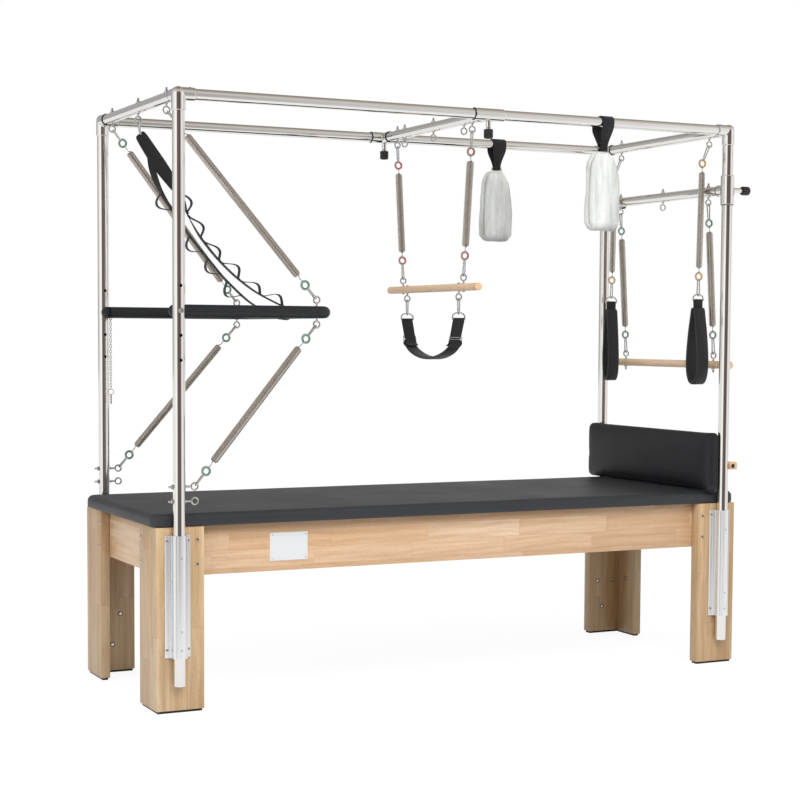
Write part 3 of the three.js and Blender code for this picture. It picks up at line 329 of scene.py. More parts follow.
# Corner legs: a wide board on the long side with a narrower one butted behind it on the end, both of
# finger-jointed rubberwood strips under satin lacquer, screwed to the aprons and to each other.
def combined(x, y, z=0.0):
    """A vector of three values, the first one a socket."""
    return add_node(x.id_data, "CombineXYZ", {"X": x, "Y": y, "Z": z}).outputs["Vector"]


jointed, given, result = effect("finger_jointed_wood", {"Along": 0.0, "Across": 0.0, "Depth": 0.0, "Strip": 0.062,
                                                        "Block": 0.38, "Figure": 1.0}, ("Color", "Gloss", "Height"))
along, over, deep = given["Along"], given["Across"], given["Depth"]
strip_place = maths("ADD", maths("DIVIDE", over, given["Strip"]), 40.37)
strip = maths("FLOOR", strip_place)
stagger = add_node(jointed, "TexWhiteNoise", {"W": strip}, noise_dimensions="1D").outputs["Value"]
teeth = maths("MULTIPLY", maths("PINGPONG", deep, 0.0021), 1.8)
block_place = maths("ADD", maths("DIVIDE", maths("ADD", teeth, along), given["Block"]), stagger)
block = maths("FLOOR", maths("ADD", block_place, 30.0))
lot = add_node(jointed, "TexWhiteNoise", {"Vector": combined(strip, block)}, noise_dimensions="2D").outputs["Value"]
shift = maths("MULTIPLY", lot, 9.0)
bow = clouded(combined(maths("MULTIPLY", along, 3.2), strip, shift), 1.0, 1.0)
across_grain = maths("ADD", maths("MULTIPLY", over, 46.0), maths("MULTIPLY", bow, 1.6))
figure = clouded(combined(maths("ADD", maths("MULTIPLY", along, 2.6), shift), across_grain,
                          maths("MULTIPLY", deep, 46.0)), 1.0, 6.0, Roughness=0.62)
rays = clouded(combined(*(maths("MULTIPLY", axis, dense) for axis, dense in (
    (along, 55.0), (over, 850.0), (deep, 850.0)))), 1.0, 1.0)
body_tone = ramp(lot, [(0.0, tone("#d8b591")), (0.3, tone("#e1c3a1")), (0.55, tone("#dbba96")),
                       (0.8, tone("#cfa982")), (1.0, tone("#e6ccaf"))])
dark_tone = mixed(jointed, maths("MULTIPLY", given["Figure"], 0.62), body_tone, tone("#b38a5f"))
grained = mixed(jointed, spread(figure, 0.34, 0.68), dark_tone, body_tone)
pore = maths("MULTIPLY", spread(rays, 0.62, 0.74), given["Figure"])
pored = mixed(jointed, maths("MULTIPLY", pore, 0.4), grained, tone("#96683d"))
seam = spread(maths("PINGPONG", maths("FRACT", strip_place), 0.5), 0.004, 0.016)
butt = spread(maths("PINGPONG", block_place, 0.5), 0.0006, 0.0028)
joint = maths("MULTIPLY", seam, butt)
give(result, Gloss=maths("MULTIPLY_ADD", figure, 0.16, 0.34),
     Color=mixed(jointed, maths("MULTIPLY", maths("SUBTRACT", 1.0, joint), 0.45), pored, tone("#a87a4c")),
     Height=maths("SUBTRACT", maths("MULTIPLY", joint, 0.6), maths("MULTIPLY", pore, 0.5)))


def wood_finish(name, along, across_axis, strip=0.062, block=0.38, figure_depth=1.0, shade="#ffffff"):
    """Rubberwood whose grain runs along one axis and whose strips lie side by side along another."""
    def feed(tree):
        axes = add_node(tree, "SeparateXYZ", at_place(tree)).outputs
        depth = ({"X", "Y", "Z"} - {along, across_axis}).pop()
        return {"Along": axes[along], "Across": axes[across_axis], "Depth": axes[depth], "Strip": strip,
                "Block": block, "Figure": figure_depth}

    return finish(name, jointed, feed,
                  lambda tree, done: mixed(tree, 1.0, done["Color"], tone(shade), blend_type="MULTIPLY"),
                  lambda done: done["Gloss"], 0.25, 0.0004, Coat_Weight=0.12, Coat_Roughness=0.3)


wood_upright_wide = wood_finish("wood_upright_wide", "Z", "X", figure_depth=1.25, shade="#e6e6dd")
wood_upright_end = wood_finish("wood_upright_end", "Z", "Y", figure_depth=1.25, shade="#e6e6dd")
wood_lengthwise = wood_finish("wood_lengthwise", "X", "Z", shade="#f8f6f7")
wood_crosswise = wood_finish("wood_crosswise", "Y", "Z")
bolt_steel = plain_finish("bolt_steel", "#b9b8b6", "#dad9d7", (0.16, 0.28), 0.2, fine=1500.0, Metallic=1.0)
# Near-black finish for the insides of holes, bolt sockets, counterbores and screw recesses: painted shade, where the
# real walls are bare metal or wood.
painted_hole_shade = plain_finish("painted_hole_shade", "#0d0d0e", "#18181a", (0.7, 0.8), 0.2)


def lattice(rows, count, closed=False, first=True, last=True):
    """Faces round and along a stack of rings of points, with a cap on its first and last ring."""
    faces = [(r * count + k, r * count + (k + 1) % count, (r + 1) % rows * count + (k + 1) % count,
              (r + 1) % rows * count + k) for r in range(rows if closed else rows - 1) for k in range(count)]
    if first and not closed:
        faces.append(list(range(count))[::-1])
    if last and not closed:
        faces.append([(rows - 1) * count + k for k in range(count)])
    return faces


def stacked(rings):
    """A shape whose skin joins rings of points, closed at both ends."""
    return [point for ring in rings for point in ring], lattice(len(rings), len(rings[0])), 0, None


def turned(profile, origin, direction, sides=32, number=0):
    """A lathe-turned shape: (distance, radius) pairs from the origin along a direction."""
    axis = Vector(direction).normalized()
    first = axis.cross(Vector((0, 1, 0)) if abs(axis.y) < 0.9 else Vector((1, 0, 0))).normalized()
    second = axis.cross(first)
    angles = 2 * math.pi * np.arange(sides) / sides
    circle = np.cos(angles)[:, None] * np.array(first) + np.sin(angles)[:, None] * np.array(second)
    points, runs, travelled, last = [], [], 0.0, profile[0]
    for distance, radius in profile:
        travelled += math.dist(last, (distance, radius))
        last = (distance, radius)
        points.extend(np.array(origin) + np.array(axis) * distance + circle * radius)
        runs.extend((travelled, angle * 0.02, 0) for angle in angles)
    return points, lattice(len(profile), sides, first=profile[0][1] > 0, last=profile[-1][1] > 0), number, runs


BUTTON_R = 0.0065


def button_bolt(place, direction):
    """A round bolt head with its socket in the middle, the socket painted dark as shade."""
    head = [(-0.0005, 0), (-0.0005, BUTTON_R), (0.0008, BUTTON_R), (0.0022, BUTTON_R * 0.9),
            (0.0032, BUTTON_R * 0.66), (0.0034, BUTTON_R * 0.5), (0.0016, BUTTON_R * 0.48), (0.0016, 0)]
    socket = [(0.0012, 0), (0.0012, BUTTON_R * 0.47), (0.0018, BUTTON_R * 0.47), (0.0018, 0)]
    return [turned(head, place, direction, 20, 0), turned(socket, place, direction, 6, 1)]


def sunk_bolt(place, direction):
    """A bolt in a counterbored hole: a ring painted dark as the bore's shade, with the bright head deep in it."""
    bore = [(-0.001, 0), (-0.001, 0.0095), (0.0005, 0.0095), (0.0005, 0.0078), (-0.0002, 0.0075), (-0.0002, 0)]
    head = [(-0.0002, 0), (-0.0002, 0.0056), (0.0009, 0.0052), (0.0013, 0.003), (0.0008, 0.0026), (0.0008, 0)]
    return [turned(bore, place, direction, 24, 1), turned(head, place, direction, 20, 0)]


LEG_LOW, BENCH_TOP, LEG_END_FACE = 0.0083, 0.627, 0.074
for place, x, y, out_x, out_y in corners:
    at_left = out_x < 0
    end_x = x + out_x * LEG_END_FACE
    side_board = bevelled_block((end_x, y - out_y * LEG_FACE, LEG_LOW),
                                (x - out_x * 0.096, y - out_y * LEG_BOARD_END, BENCH_TOP), 0.0028)
    end_board = bevelled_block((end_x, y - out_y * LEG_BOARD_END, LEG_LOW),
                               (x + out_x * 0.04, y - out_y * LEG_END_REACH, BENCH_TOP), 0.0018, 1)
    piece(f"leg_boards_{place}", [side_board, end_board], [wood_upright_wide, wood_upright_end],
          "bench_and_frame", [f"leg_{place}"])
    heads = []
    for height in (0.583, 0.5) if at_left else (0.579, 0.498):
        heads += button_bolt((x + (0.072 if at_left else -0.077), y - out_y * LEG_FACE, height), (0, out_y, 0))
    for height in (0.581, 0.498):
        heads += button_bolt((end_x, y - out_y * 0.185, height), (out_x, 0, 0))
    for depth, height in ((0.04, 0.222), (0.0095, 0.107)) if at_left else (
            (0.057, 0.226), (0.033, 0.115), (-0.0135, 0.227)):
        heads += sunk_bolt((x - out_x * depth, y - out_y * LEG_BOARD_END, height), (0, -out_y, 0))
    heads += sunk_bolt((x + out_x * 0.04, y - out_y * 0.135, 0.24), (-out_x, 0, 0))
    piece(f"leg_bolts_{place}", heads, [bolt_steel, painted_hole_shade], "bench_and_frame")


# Aprons: one board along each side and each end, behind the leg boards, of the same jointed strips.
# The front one carries a bare steel name plate on four small cross-head screws.
for part, places, wood in (("side", ("front", "back"), wood_lengthwise), ("end", ("left", "right"), wood_crosswise)):
    for place in places:
        low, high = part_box(f"{part}_apron_{place}")
        piece(f"{part}_board_{place}", [bevelled_block(low, high, 0.0025)], [wood], "bench_and_frame",
              [f"{part}_apron_{place}"])


def rounded_plate(low, high, radius, thickness, face):
    """A thin plate with round corners that stands out to the front from a face, its rim eased."""
    rings = []
    for inset, rise in ((0, 0), (0, thickness * 0.7), (thickness * 0.3, thickness), (thickness * 2, thickness)):
        reach = max(radius - inset, 0.0002)
        ring = []
        for x, z, start in ((high[0] - radius, high[1] - radius, 0), (low[0] + radius, high[1] - radius, 90),
                            (low[0] + radius, low[1] + radius, 180), (high[0] - radius, low[1] + radius, 270)):
            for angle in np.radians(start + np.arange(0, 91, 15)):
                ring.append((x + reach * math.cos(angle), face - rise, z + reach * math.sin(angle)))
        rings.append(ring)
    return stacked(rings)


def cross_screw(place, direction, radius=0.0045, number=0, dark=1):
    """A small pan-head screw with its cross recess, whose finish (dark) is painted shade."""
    head = [(-0.0002, 0), (-0.0002, radius), (0.0006, radius), (0.0015, radius * 0.78), (0.0019, radius * 0.4),
            (0.0019, 0)]
    axis = Vector(direction).normalized()
    made = [turned(head, place, axis, 20, number)]
    top = Vector(place) + axis * 0.0019
    for turn_by in (Vector((0, 0, 1)), axis.cross(Vector((0, 0, 1)))):
        arm = Vector([abs(part) for part in turn_by]) * radius * 0.55
        half = Vector([max(arm[k], 0.0004 if abs(axis[k]) < 0.5 else 0.0002) for k in range(3)])
        made.append(bevelled_block(top - half, top + half, 0.00008, dark, 1))
    return made


plate_steel = plain_finish("plate_steel", "#d5d7d9", "#e6e7e8", (0.3, 0.4), 0.15, broad=3.0, fine=900.0,
                           stretch=(0.12, 1, 1), Metallic=0.3)
plate_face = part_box("side_apron_front")[0][1]
plate = [rounded_plate((-0.762, 0.491), (-0.621, 0.589), 0.004, 0.0015, plate_face)]
for x in (-0.7535, -0.6295):
    for z in (0.4995, 0.5805):
        plate += cross_screw((x, plate_face - 0.0014, z), (0, -1, 0))
piece("name_plate_bare", plate, [plate_steel, painted_hole_shade], "bench_and_frame")


# Post sockets: lengths of one satin anodised aluminium section, two flanges and a ribbed nose round
# the post's bore, screwed flat to the leg and locked on the post by set screws.
anodised = plain_finish("anodised_aluminium", "#dcddde", "#e9eaea", (0.24, 0.34), 0.25, broad=5.0, fine=1100.0,
                        stretch=(1, 1, 0.08), Metallic=0.75)
NOSE, FLANGE, BORE_R = 25.3, 15.2, 21.3
half_section = [(0.0, NOSE), (9.0, NOSE), (11.8, 24.6), (13.2, 22.8), (13.8, 19.0), (15.0, 17.6), (16.8, 17.4),
                (18.2, 18.4), (20.4, 18.6), (22.6, 17.0), (24.6, 13.6), (25.3, 10.0), (25.3, -8.6), (26.0, -10.6),
                (27.6, -11.4), (30.0, -11.6), (31.6, -12.6), (32.4, -FLANGE), (43.4, -FLANGE), (45.0, -16.8),
                (45.0, -21.2), (BORE_R, -21.2)]
bore_arc = [(BORE_R * math.cos(math.pi * k / 20), BORE_R * math.sin(math.pi * k / 20)) for k in range(21)]
section_line = (half_section + bore_arc + [(-a, b) for a, b in reversed(half_section)])[1:]
set_screw = [(-0.003, 0), (-0.003, 0.0036), (0.0003, 0.0036), (0.0003, 0.0028), (-0.001, 0.0024), (-0.001, 0)]
for place, x, y, out_x, out_y in corners:
    low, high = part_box(f"post_socket_{place}")
    section = [stacked([[(x + a / 1000, y + out_y * b / 1000, z) for a, b in section_line]
                        for z in (low[2], high[2])])]
    for height in (0.528, 0.281, 0.22):
        # Set screws deep in their holes, in the dark hole finish: painted shade of the holes.
        section.append(turned(set_screw, (x, y + out_y * NOSE / 1000, height), (0, out_y, 0), 16, 2))
    for height in (0.582, 0.216):
        for side in (-0.0385, 0.0385):
            section += cross_screw((x + side, y - out_y * FLANGE / 1000, height), (0, out_y, 0), 0.0052, 1, 2)
    piece(f"socket_section_{place}", section, [anodised, bolt_steel, painted_hole_shade], "bench_and_frame",
          [f"post_socket_{place}"])


# Posts: polished 42 mm stainless tube, open below. The left pair is drilled for the push-through
# bar's pins, and carries the eye bolts of its lower springs, nutted on the outer side.
def polished(name, stretch):
    """Stainless tube with fine polishing lines round it and a faint cloudiness."""
    return plain_finish(name, "#dad7d3", "#ebe9e6", (0.05, 0.11), 0.05, broad=4.0, fine=420.0, depth=0.0001,
                        stretch=stretch, Metallic=1.0)


tube_upright = polished("tube_upright", (0.25, 0.25, 1))
tube_lengthwise = polished("tube_lengthwise", (1, 0.25, 0.25))
tube_crosswise = polished("tube_crosswise", (0.25, 1, 0.25))
POST_R, RAIL_R, RAIL_LEVEL, TUBE_SIDES = 0.021, 0.019, 2.06, 56


def swept(line, section, side, closed=False, number=0):
    """A section of (side, outward) points carried along a line. Side is the section's first axis."""
    line = np.asarray(line, float)
    after, before = np.roll(line, -1, 0), np.roll(line, 1, 0)
    if not closed:
        after[-1], before[0] = line[-1], line[0]
    way = after - before
    way /= np.linalg.norm(way, axis=1, keepdims=True)
    side = np.broadcast_to(np.asarray(side, float), line.shape)
    out = np.cross(way, side)
    out /= np.linalg.norm(out, axis=1, keepdims=True)
    side = np.cross(out, way)
    section = np.asarray(section, float)
    if section.ndim == 2:
        section = np.broadcast_to(section, (len(line),) + section.shape)
    points = line[:, None] + section[..., :1] * side[:, None] + section[..., 1:] * out[:, None]
    count = section.shape[1]
    runs = [(travelled, a, b) for travelled, points_of in zip(lengths_along(line), section) for a, b in points_of]
    return points.reshape(-1, 3), lattice(len(line), count, closed), number, runs


def lengths_along(line):
    """How far along the line each of its points lies."""
    return np.concatenate([[0], np.cumsum(np.linalg.norm(np.diff(line, axis=0), axis=1))])


def round_section(radius, sides):
    """A round wire's or tube's section."""
    angles = 2 * np.pi * np.arange(sides) / sides
    return radius * np.stack([np.cos(angles), np.sin(angles)], 1)


def wire_ring(centre, normal, radius, wire, number=0, steps=36, sides=10):
    """A closed ring of round wire."""
    normal = Vector(normal).normalized()
    first = normal.cross(Vector((0, 0, 1)) if abs(normal.z) < 0.9 else Vector((1, 0, 0))).normalized()
    circle = round_section(radius, steps)
    line = np.array(centre) + circle[:, :1] * np.array(first) + circle[:, 1:] * np.array(normal.cross(first))
    return swept(line, round_section(wire, sides), np.array(normal), True, number)


EYE_R, EYE_WIRE, EYE_NECK = 0.0115, 0.003, 0.007


def screw_eye(place, direction, surface, neck=EYE_NECK, number=0):
    """An eye standing on a tube: collar, shank and a loop of bent rod in the XZ plane."""
    axis = Vector(direction).normalized()
    centre = Vector(place) + axis * (surface + neck + EYE_R + EYE_WIRE)
    stem = [(surface - 0.002, 0.0062), (surface + 0.0012, 0.0062), (surface + 0.0018, 0.0042),
            (surface + neck * 0.5, 0.0038), (surface + neck + 0.0012, 0.0032)]
    return [wire_ring(centre, (0, 1, 0), EYE_R, EYE_WIRE, number), turned(stem, place, axis, 16, number)]


def eye_bolt(place, direction, surface, neck=EYE_NECK, number=0):
    """An eye whose bolt passes through the tube to a washer, a nut and a threaded end."""
    washer = [(-0.0012, 0.0088), (0.0008, 0.0088)]
    nut = [(0.0008, 0.0074), (0.0012, 0.008), (0.0054, 0.008), (0.006, 0.0072)]
    thread = [(0.006, 0.0036)]
    for turn in range(8):
        thread += [(0.0062 + turn * 0.00118, 0.004), (0.0068 + turn * 0.00118, 0.0035)]
    thread.append((0.016, 0.0034))
    return screw_eye(place, direction, surface, neck, number) + [
        turned([(surface + a, b) for a, b in profile], place, -Vector(direction), sides, number)
        for profile, sides in ((washer, 20), (nut, 6), (thread, 12))]


def settled(made):
    """The mesh that an object's modifiers give."""
    return bpy.data.meshes.new_from_object(made.evaluated_get(bpy.context.evaluated_depsgraph_get()))


def drilled(made, cutters, material):
    """Holes cut through a piece, their walls in the given dark finish: painted shade inside the holes."""
    drill = bare_object("drill", *merged(cutters)[:2])
    drill.data.materials.append(material)
    change = made.modifiers.new("holes", "BOOLEAN")
    change.object, change.operation, change.solver = drill, "DIFFERENCE", "EXACT"
    change.material_mode = "TRANSFER"
    mesh = settled(made)
    made.modifiers.remove(change)
    made.data = mesh
    bpy.data.objects.remove(drill)
    smoothed(mesh)


PIN_HOLES = (1.432, 1.35, 1.268, 1.186)
POST_EYE_LEVELS, POST_EYE_NECK, POST_EYE_REACH = (0.765, 0.716), 0.0185, 0.054
for place, x, y, out_x, out_y in corners:
    low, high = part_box(f"post_{place}")
    stations = [(hole + side, POST_R) for hole in sorted(PIN_HOLES) for side in (-0.011, 0.011) if out_x < 0]
    stem = [(low[2] + 0.04, 0), (low[2] + 0.04, 0.0191), (low[2] + 0.0004, 0.0191), (low[2], 0.0195),
            (low[2], 0.0206), (low[2] + 0.0004, POST_R)] + stations + [(high[2], POST_R), (high[2], 0)]
    post = piece(f"tube_post_{place}", [turned(stem, (x, y, 0), (0, 0, 1), TUBE_SIDES)],
                 [tube_upright, bolt_steel, painted_hole_shade], "bench_and_frame", [f"post_{place}"])
    if out_x < 0:
        # The pin holes' walls are painted shade, in the dark hole finish.
        drilled(post, [turned([(-0.03, 0.0058), (0.03, 0.0058)], (x, y, hole), (0, 1, 0), 20)
                       for hole in PIN_HOLES], painted_hole_shade)
        bolts = []
        for level_at in POST_EYE_LEVELS:
            bolts += eye_bolt((x, y, level_at), (1, 0, 0), POST_R, POST_EYE_NECK)
        piece(f"post_eyes_{place}", bolts, [bolt_steel], "bench_and_frame")


# Corner fittings: polished three-way castings over the post tops, domed outside, with a short arm for
# the long rail and one for the cross-bar. Set screws and black rubber rings finish the mouths.
CAST_GRAIN, SLEEVE_R, POST_SLEEVE_R, ARM_REACH, RIM = 0.0016, 0.022, 0.024, 0.055, 0.0008
seal_rubber = plain_finish("seal_rubber", "#0e0e0f", "#1a1a1b", (0.5, 0.65), 0.3)
cast_steel = polished("cast_steel", (0.5, 0.5, 0.5))


def fused(shapes):
    """One smooth-cornered skin over several overlapping shapes, as a casting has."""
    rough = bare_object("casting", *merged(shapes)[:2])
    change = rough.modifiers.new("skin", "REMESH")
    change.mode, change.voxel_size = "VOXEL", CAST_GRAIN
    ease = rough.modifiers.new("ease", "SMOOTH")
    ease.factor, ease.iterations = 0.5, 4
    skin = settled(rough)
    bpy.data.objects.remove(rough)
    points = [corner.co[:] for corner in skin.vertices]
    faces = [list(side.vertices) for side in skin.polygons]
    bpy.data.meshes.remove(skin)
    return points, faces, 0, None


for place, x, y, out_x, out_y in corners:
    dome = [(-ARM_REACH, 0), (-ARM_REACH, POST_SLEEVE_R - RIM), (-ARM_REACH + RIM, POST_SLEEVE_R)]
    dome += [(POST_SLEEVE_R * math.sin(math.pi / 2 * k / 8), POST_SLEEVE_R * math.cos(math.pi / 2 * k / 8))
             for k in range(9)]
    arm = [(0, 0), (0, SLEEVE_R), (ARM_REACH - RIM, SLEEVE_R), (ARM_REACH, SLEEVE_R - RIM), (ARM_REACH, 0)]
    middle = (x, y, RAIL_LEVEL)
    trim = [fused([turned(dome, middle, (0, 0, 1), 40), turned(arm, middle, (-out_x, 0, 0), 40),
                   turned(arm, middle, (0, -out_y, 0), 40)]),
            wire_ring((x - out_x * (ARM_REACH + 0.0004), y, RAIL_LEVEL), (1, 0, 0), 0.0202, 0.0011, 1),
            wire_ring((x, y - out_y * (ARM_REACH + 0.0004), RAIL_LEVEL), (0, 1, 0), 0.0202, 0.0017, 2)]
    for spot in ((x - out_x * 0.04, y, RAIL_LEVEL), (x, y - out_y * 0.04, RAIL_LEVEL)):
        trim.append(turned([(0.0205, 0.0042), (0.0232, 0.0042), (0.0238, 0.0034), (0.0238, 0.0021), (0.0225, 0.002),
                            (0.0225, 0)], spot, (0, 0, 1), 12, 1))
    piece(f"corner_casting_{place}", trim, [cast_steel, bolt_steel, seal_rubber], "bench_and_frame",
          [f"corner_fitting_{place}"], 50)


# Long rails and cross-bars: 38 mm polished tube, seated in the castings. Eye bolts pass down through
# the cross-bars, with their nuts and threaded ends standing above.
EYE_ROW, HANGING_EYE = 0.311, 2.0195
for row, out_y in ROWS:
    low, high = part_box(f"top_rail_{row}")
    piece(f"long_rail_{row}", [turned([(low[0], RAIL_R), (high[0], RAIL_R)], (0, out_y * SIDE_POST, RAIL_LEVEL),
                                      (1, 0, 0), TUBE_SIDES)],
          [tube_lengthwise], "bench_and_frame", [f"top_rail_{row}"])
for end, x, eyes in (("left", LEFT_POST, (-EYE_ROW, 0, EYE_ROW)), ("right", RIGHT_POST, (-EYE_ROW, EYE_ROW))):
    bar = [turned([(-0.413, RAIL_R), (0.413, RAIL_R)], (x, 0, RAIL_LEVEL), (0, 1, 0), TUBE_SIDES)]
    for y in eyes:
        bar += eye_bolt((x, y, RAIL_LEVEL), (0, 0, -1), RAIL_R, number=1)
    piece(f"cross_tube_{end}", bar, [tube_crosswise, bolt_steel], "bench_and_frame",
          [f"cross_bar_{end}"])


# Padded top: a board under firm foam, wrapped in black grained vinyl pulled tight over round corners.
# The foam is slightly crowned, and the cover gathers a little where it turns the corners.
hide, given, result = effect("vinyl_hide", {"Vector": None, "Cells": 650.0}, ("Tone", "Height"))
cells = add_node(hide, "TexVoronoi", {"Vector": given["Vector"], "Scale": given["Cells"]},
                 feature="DISTANCE_TO_EDGE").outputs["Distance"]
give(result, Tone=clouded(given["Vector"], 3.5, 3.0),
     Height=maths("ADD", maths("MULTIPLY", spread(cells, 0.0, 0.22), 0.7),
                  maths("MULTIPLY", clouded(given["Vector"], 240.0, 3.0), 0.5)))


def vinyl_finish(name, dark, light, rough):
    """Grained vinyl over foam."""
    return finish(name, hide, at_place, lambda tree, done: mixed(tree, done["Tone"], tone(dark), tone(light)),
                  lambda done: spread(done["Tone"], 0.3, 0.7, *rough), 0.35, 0.0003, Specular_IOR_Level=0.45)


mat_vinyl = vinyl_finish("mat_vinyl", "#232427", "#303236", (0.44, 0.54))
QUARTERS = ((1, 1, 0), (-1, 1, 90), (-1, -1, 180), (1, -1, 270))


def pad_rings(length, width, thickness, corner, edge, crown, step=0.02):
    """Rings of a flat pad with round corners and rolled edges, from its bottom to its crowned top."""
    levels = [(0.05, 0.0), (0.012, 0.0), (0.004, 0.0008), (0.0012, 0.003), (0.0, 0.008)]
    levels += [(0.0, thickness - edge - crown), (edge * 0.02, thickness - edge * 0.8 - crown)]
    for angle in np.radians((15, 30, 45, 60, 75, 90)):
        levels.append((edge * (1 - math.cos(angle)), thickness - crown - edge * (1 - math.sin(angle))))
    middle = min(length, width) / 2
    for reach in (0.03, 0.045, 0.065, 0.09, 0.13, 0.18, 0.24, 0.31, 0.38):
        if reach < middle - 0.012:
            levels.append((reach, thickness - crown * max(0.0, 1 - (reach - edge) / (middle * 0.5)) ** 2))
    rings = []
    for inset, height in levels:
        half_l, half_w = length / 2 - inset, width / 2 - inset
        radius = max(corner - inset, min(0.012, half_w * 0.9))
        ring = []
        for sx, sy, start in QUARTERS:
            for k in range(9):
                angle = math.radians(start + 90 * k / 8)
                ring.append((sx * (half_l - radius) + radius * math.cos(angle),
                             sy * (half_w - radius) + radius * math.sin(angle)))
            lengthwise = start in (0, 180)
            run = 2 * ((half_l if lengthwise else half_w) - radius)
            steps = max(2, round(((length if lengthwise else width) - 2 * corner) / step))
            turn_x, turn_y = (-sx, 0) if lengthwise else (0, -sy)
            base = ring[-1]
            ring += [(base[0] + turn_x * run * k / steps, base[1] + turn_y * run * k / steps)
                     for k in range(1, steps)]
        rings.append([(a, b, height) for a, b in ring])
    return rings


low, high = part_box("mat")
MAT_CORNER, MAT_EDGE, MAT_CROWN, CORNER_AT = 0.045, 0.021, 0.0035, (1.143, 0.364)
mat_x, mat_y = (low[0] + high[0]) / 2, (low[1] + high[1]) / 2
rings = pad_rings(high[0] - low[0], high[1] - low[1], high[2] - low[2], MAT_CORNER, MAT_EDGE, MAT_CROWN)
shaped = []
for ring in rings:
    row = []
    for a, b, c in ring:
        near = min(1.0, max(0.0, 1 - math.dist((abs(a), abs(b)), CORNER_AT) / 0.09))
        gather = 0.0008 * near * math.sin(70 * math.atan2(abs(b) - CORNER_AT[1], abs(a) - CORNER_AT[0]))
        sway = 0.0006 * noise.noise(Vector((a * 4, b * 5, c * 9))) if c > 0.03 else 0
        squeeze = 1 - (gather * (1 if c < 0.032 else 0) + 0.0006) / max(abs(a), abs(b), 0.1)
        row.append((mat_x + a * squeeze, mat_y + b * squeeze, low[2] + max(0, c + sway)))
    shaped.append(row)
top_pad = piece("mat_cover", [stacked(shaped)], [mat_vinyl], "bench_and_frame", ["mat"], 60)


# Bolster: a board with thick foam on its inner face under the same vinyl, standing on the mat. Foam
# pressure swells the cover between the corners. A wooden batten behind the posts clamps it there.
bolster_vinyl = vinyl_finish("bolster_vinyl", "#111215", "#191a1e", (0.5, 0.6))
low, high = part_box("bolster_pad")
thick, half_y, tall = high[0] - low[0], (high[1] - low[1]) / 2, high[2] - low[2]
rings = pad_rings(half_y * 2 - 0.006, tall - 0.006, thick - 0.004, 0.024, 0.017, 0.009, 0.012)
bolster_shape = stacked([[(high[0] - c, a, low[2] + tall / 2 + b) for a, b, c in ring] for ring in rings])


def puffed(shape, grain, cap, bottom, room):
    """The shape as a foam-filled cover: blown up by cloth pressure, flat where it rests, sized to its room."""
    cover = bare_object("cover", *merged([shape])[:2])
    change = cover.modifiers.new("skin", "REMESH")
    change.mode, change.voxel_size = "VOXEL", grain
    cover.data = settled(cover)
    cover.modifiers.remove(change)
    start = np.array([corner.co for corner in cover.data.vertices])
    cloth = cover.modifiers.new("foam", "CLOTH").settings
    cloth.use_pressure, cloth.uniform_pressure_force = True, 4.0
    cloth.effector_weights.gravity = 0.0
    for moment in range(1, 21):
        scene.frame_set(moment)
    blown = cover.evaluated_get(bpy.context.evaluated_depsgraph_get())
    end = np.array([corner.co for corner in blown.data.vertices])
    scene.frame_set(1)
    way = end - start
    end = start + way * np.minimum(1.0, cap / np.maximum(np.linalg.norm(way, axis=1, keepdims=True), 1e-9))
    end[:, 0] = np.minimum(end[:, 0], bottom[0] + room[0] * 0.985)
    end = bottom + (end - end.min(0)) / np.ptp(end, axis=0) * room
    faces = [list(side.vertices) for side in cover.data.polygons]
    bpy.data.objects.remove(cover)
    return [tuple(point) for point in end], faces, 0, None


def rounder(made, name):
    """One round of subdivision for a soft cover."""
    change = made.modifiers.new(name, "SUBSURF")
    change.levels = change.render_levels = 1


bolster_shape = puffed(bolster_shape, 0.006, 0.005, np.array(low) - 0.0012, np.array(high) - low + 0.0024)
bolster = piece("bolster_cover", [bolster_shape], [bolster_vinyl], "bolster", ["bolster_pad"], 70)
rounder(bolster, "even")
low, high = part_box("bolster_batten")
BATTEN_X, BATTEN_LEVEL = 1.11715, 0.7743
clamp = [bevelled_block((BATTEN_X, low[1], low[2]), high, 0.0018)]
for y in (-0.373, 0.373):
    clamp.append(turned([(-0.0425, 0.0039), (0.004, 0.0039)], (BATTEN_X, y, BATTEN_LEVEL), (1, 0, 0), 16, 1))
    clamp.append(turned([(0, 0.0105), (0.0012, 0.0105), (0.0013, 0.007), (0.0052, 0.0066), (0.0078, 0.004),
                         (0.0084, 0)], (high[0] - 0.0002, y, BATTEN_LEVEL), (1, 0, 0), 20, 1))
for y, way in ((low[1], -1), (high[1], 1)):
    clamp.append(turned([(0, 0.0078), (0.0018, 0.0078), (0.0026, 0.007), (0.0026, 0)], (1.125, y, BATTEN_LEVEL),
                        (0, way, 0), 24, 2))
batten_wood = wood_finish("batten_wood", "Y", "Z", 0.2, 0.9)
piece("batten_bar", clamp, [batten_wood, bolt_steel, seal_rubber], "bolster", ["bolster_batten"])


# Trapeze carriage: two sleeves that slide on the long rails, joined by a cross-tube with five eyes. A
# clamp screw with a fluted black knob stands under each sleeve.
TRAPEZE_X = 0.04785
grip_plastic = plain_finish("grip_plastic", "#101011", "#1c1c1e", (0.42, 0.55), 0.4, fine=1400.0, dust=0.15)


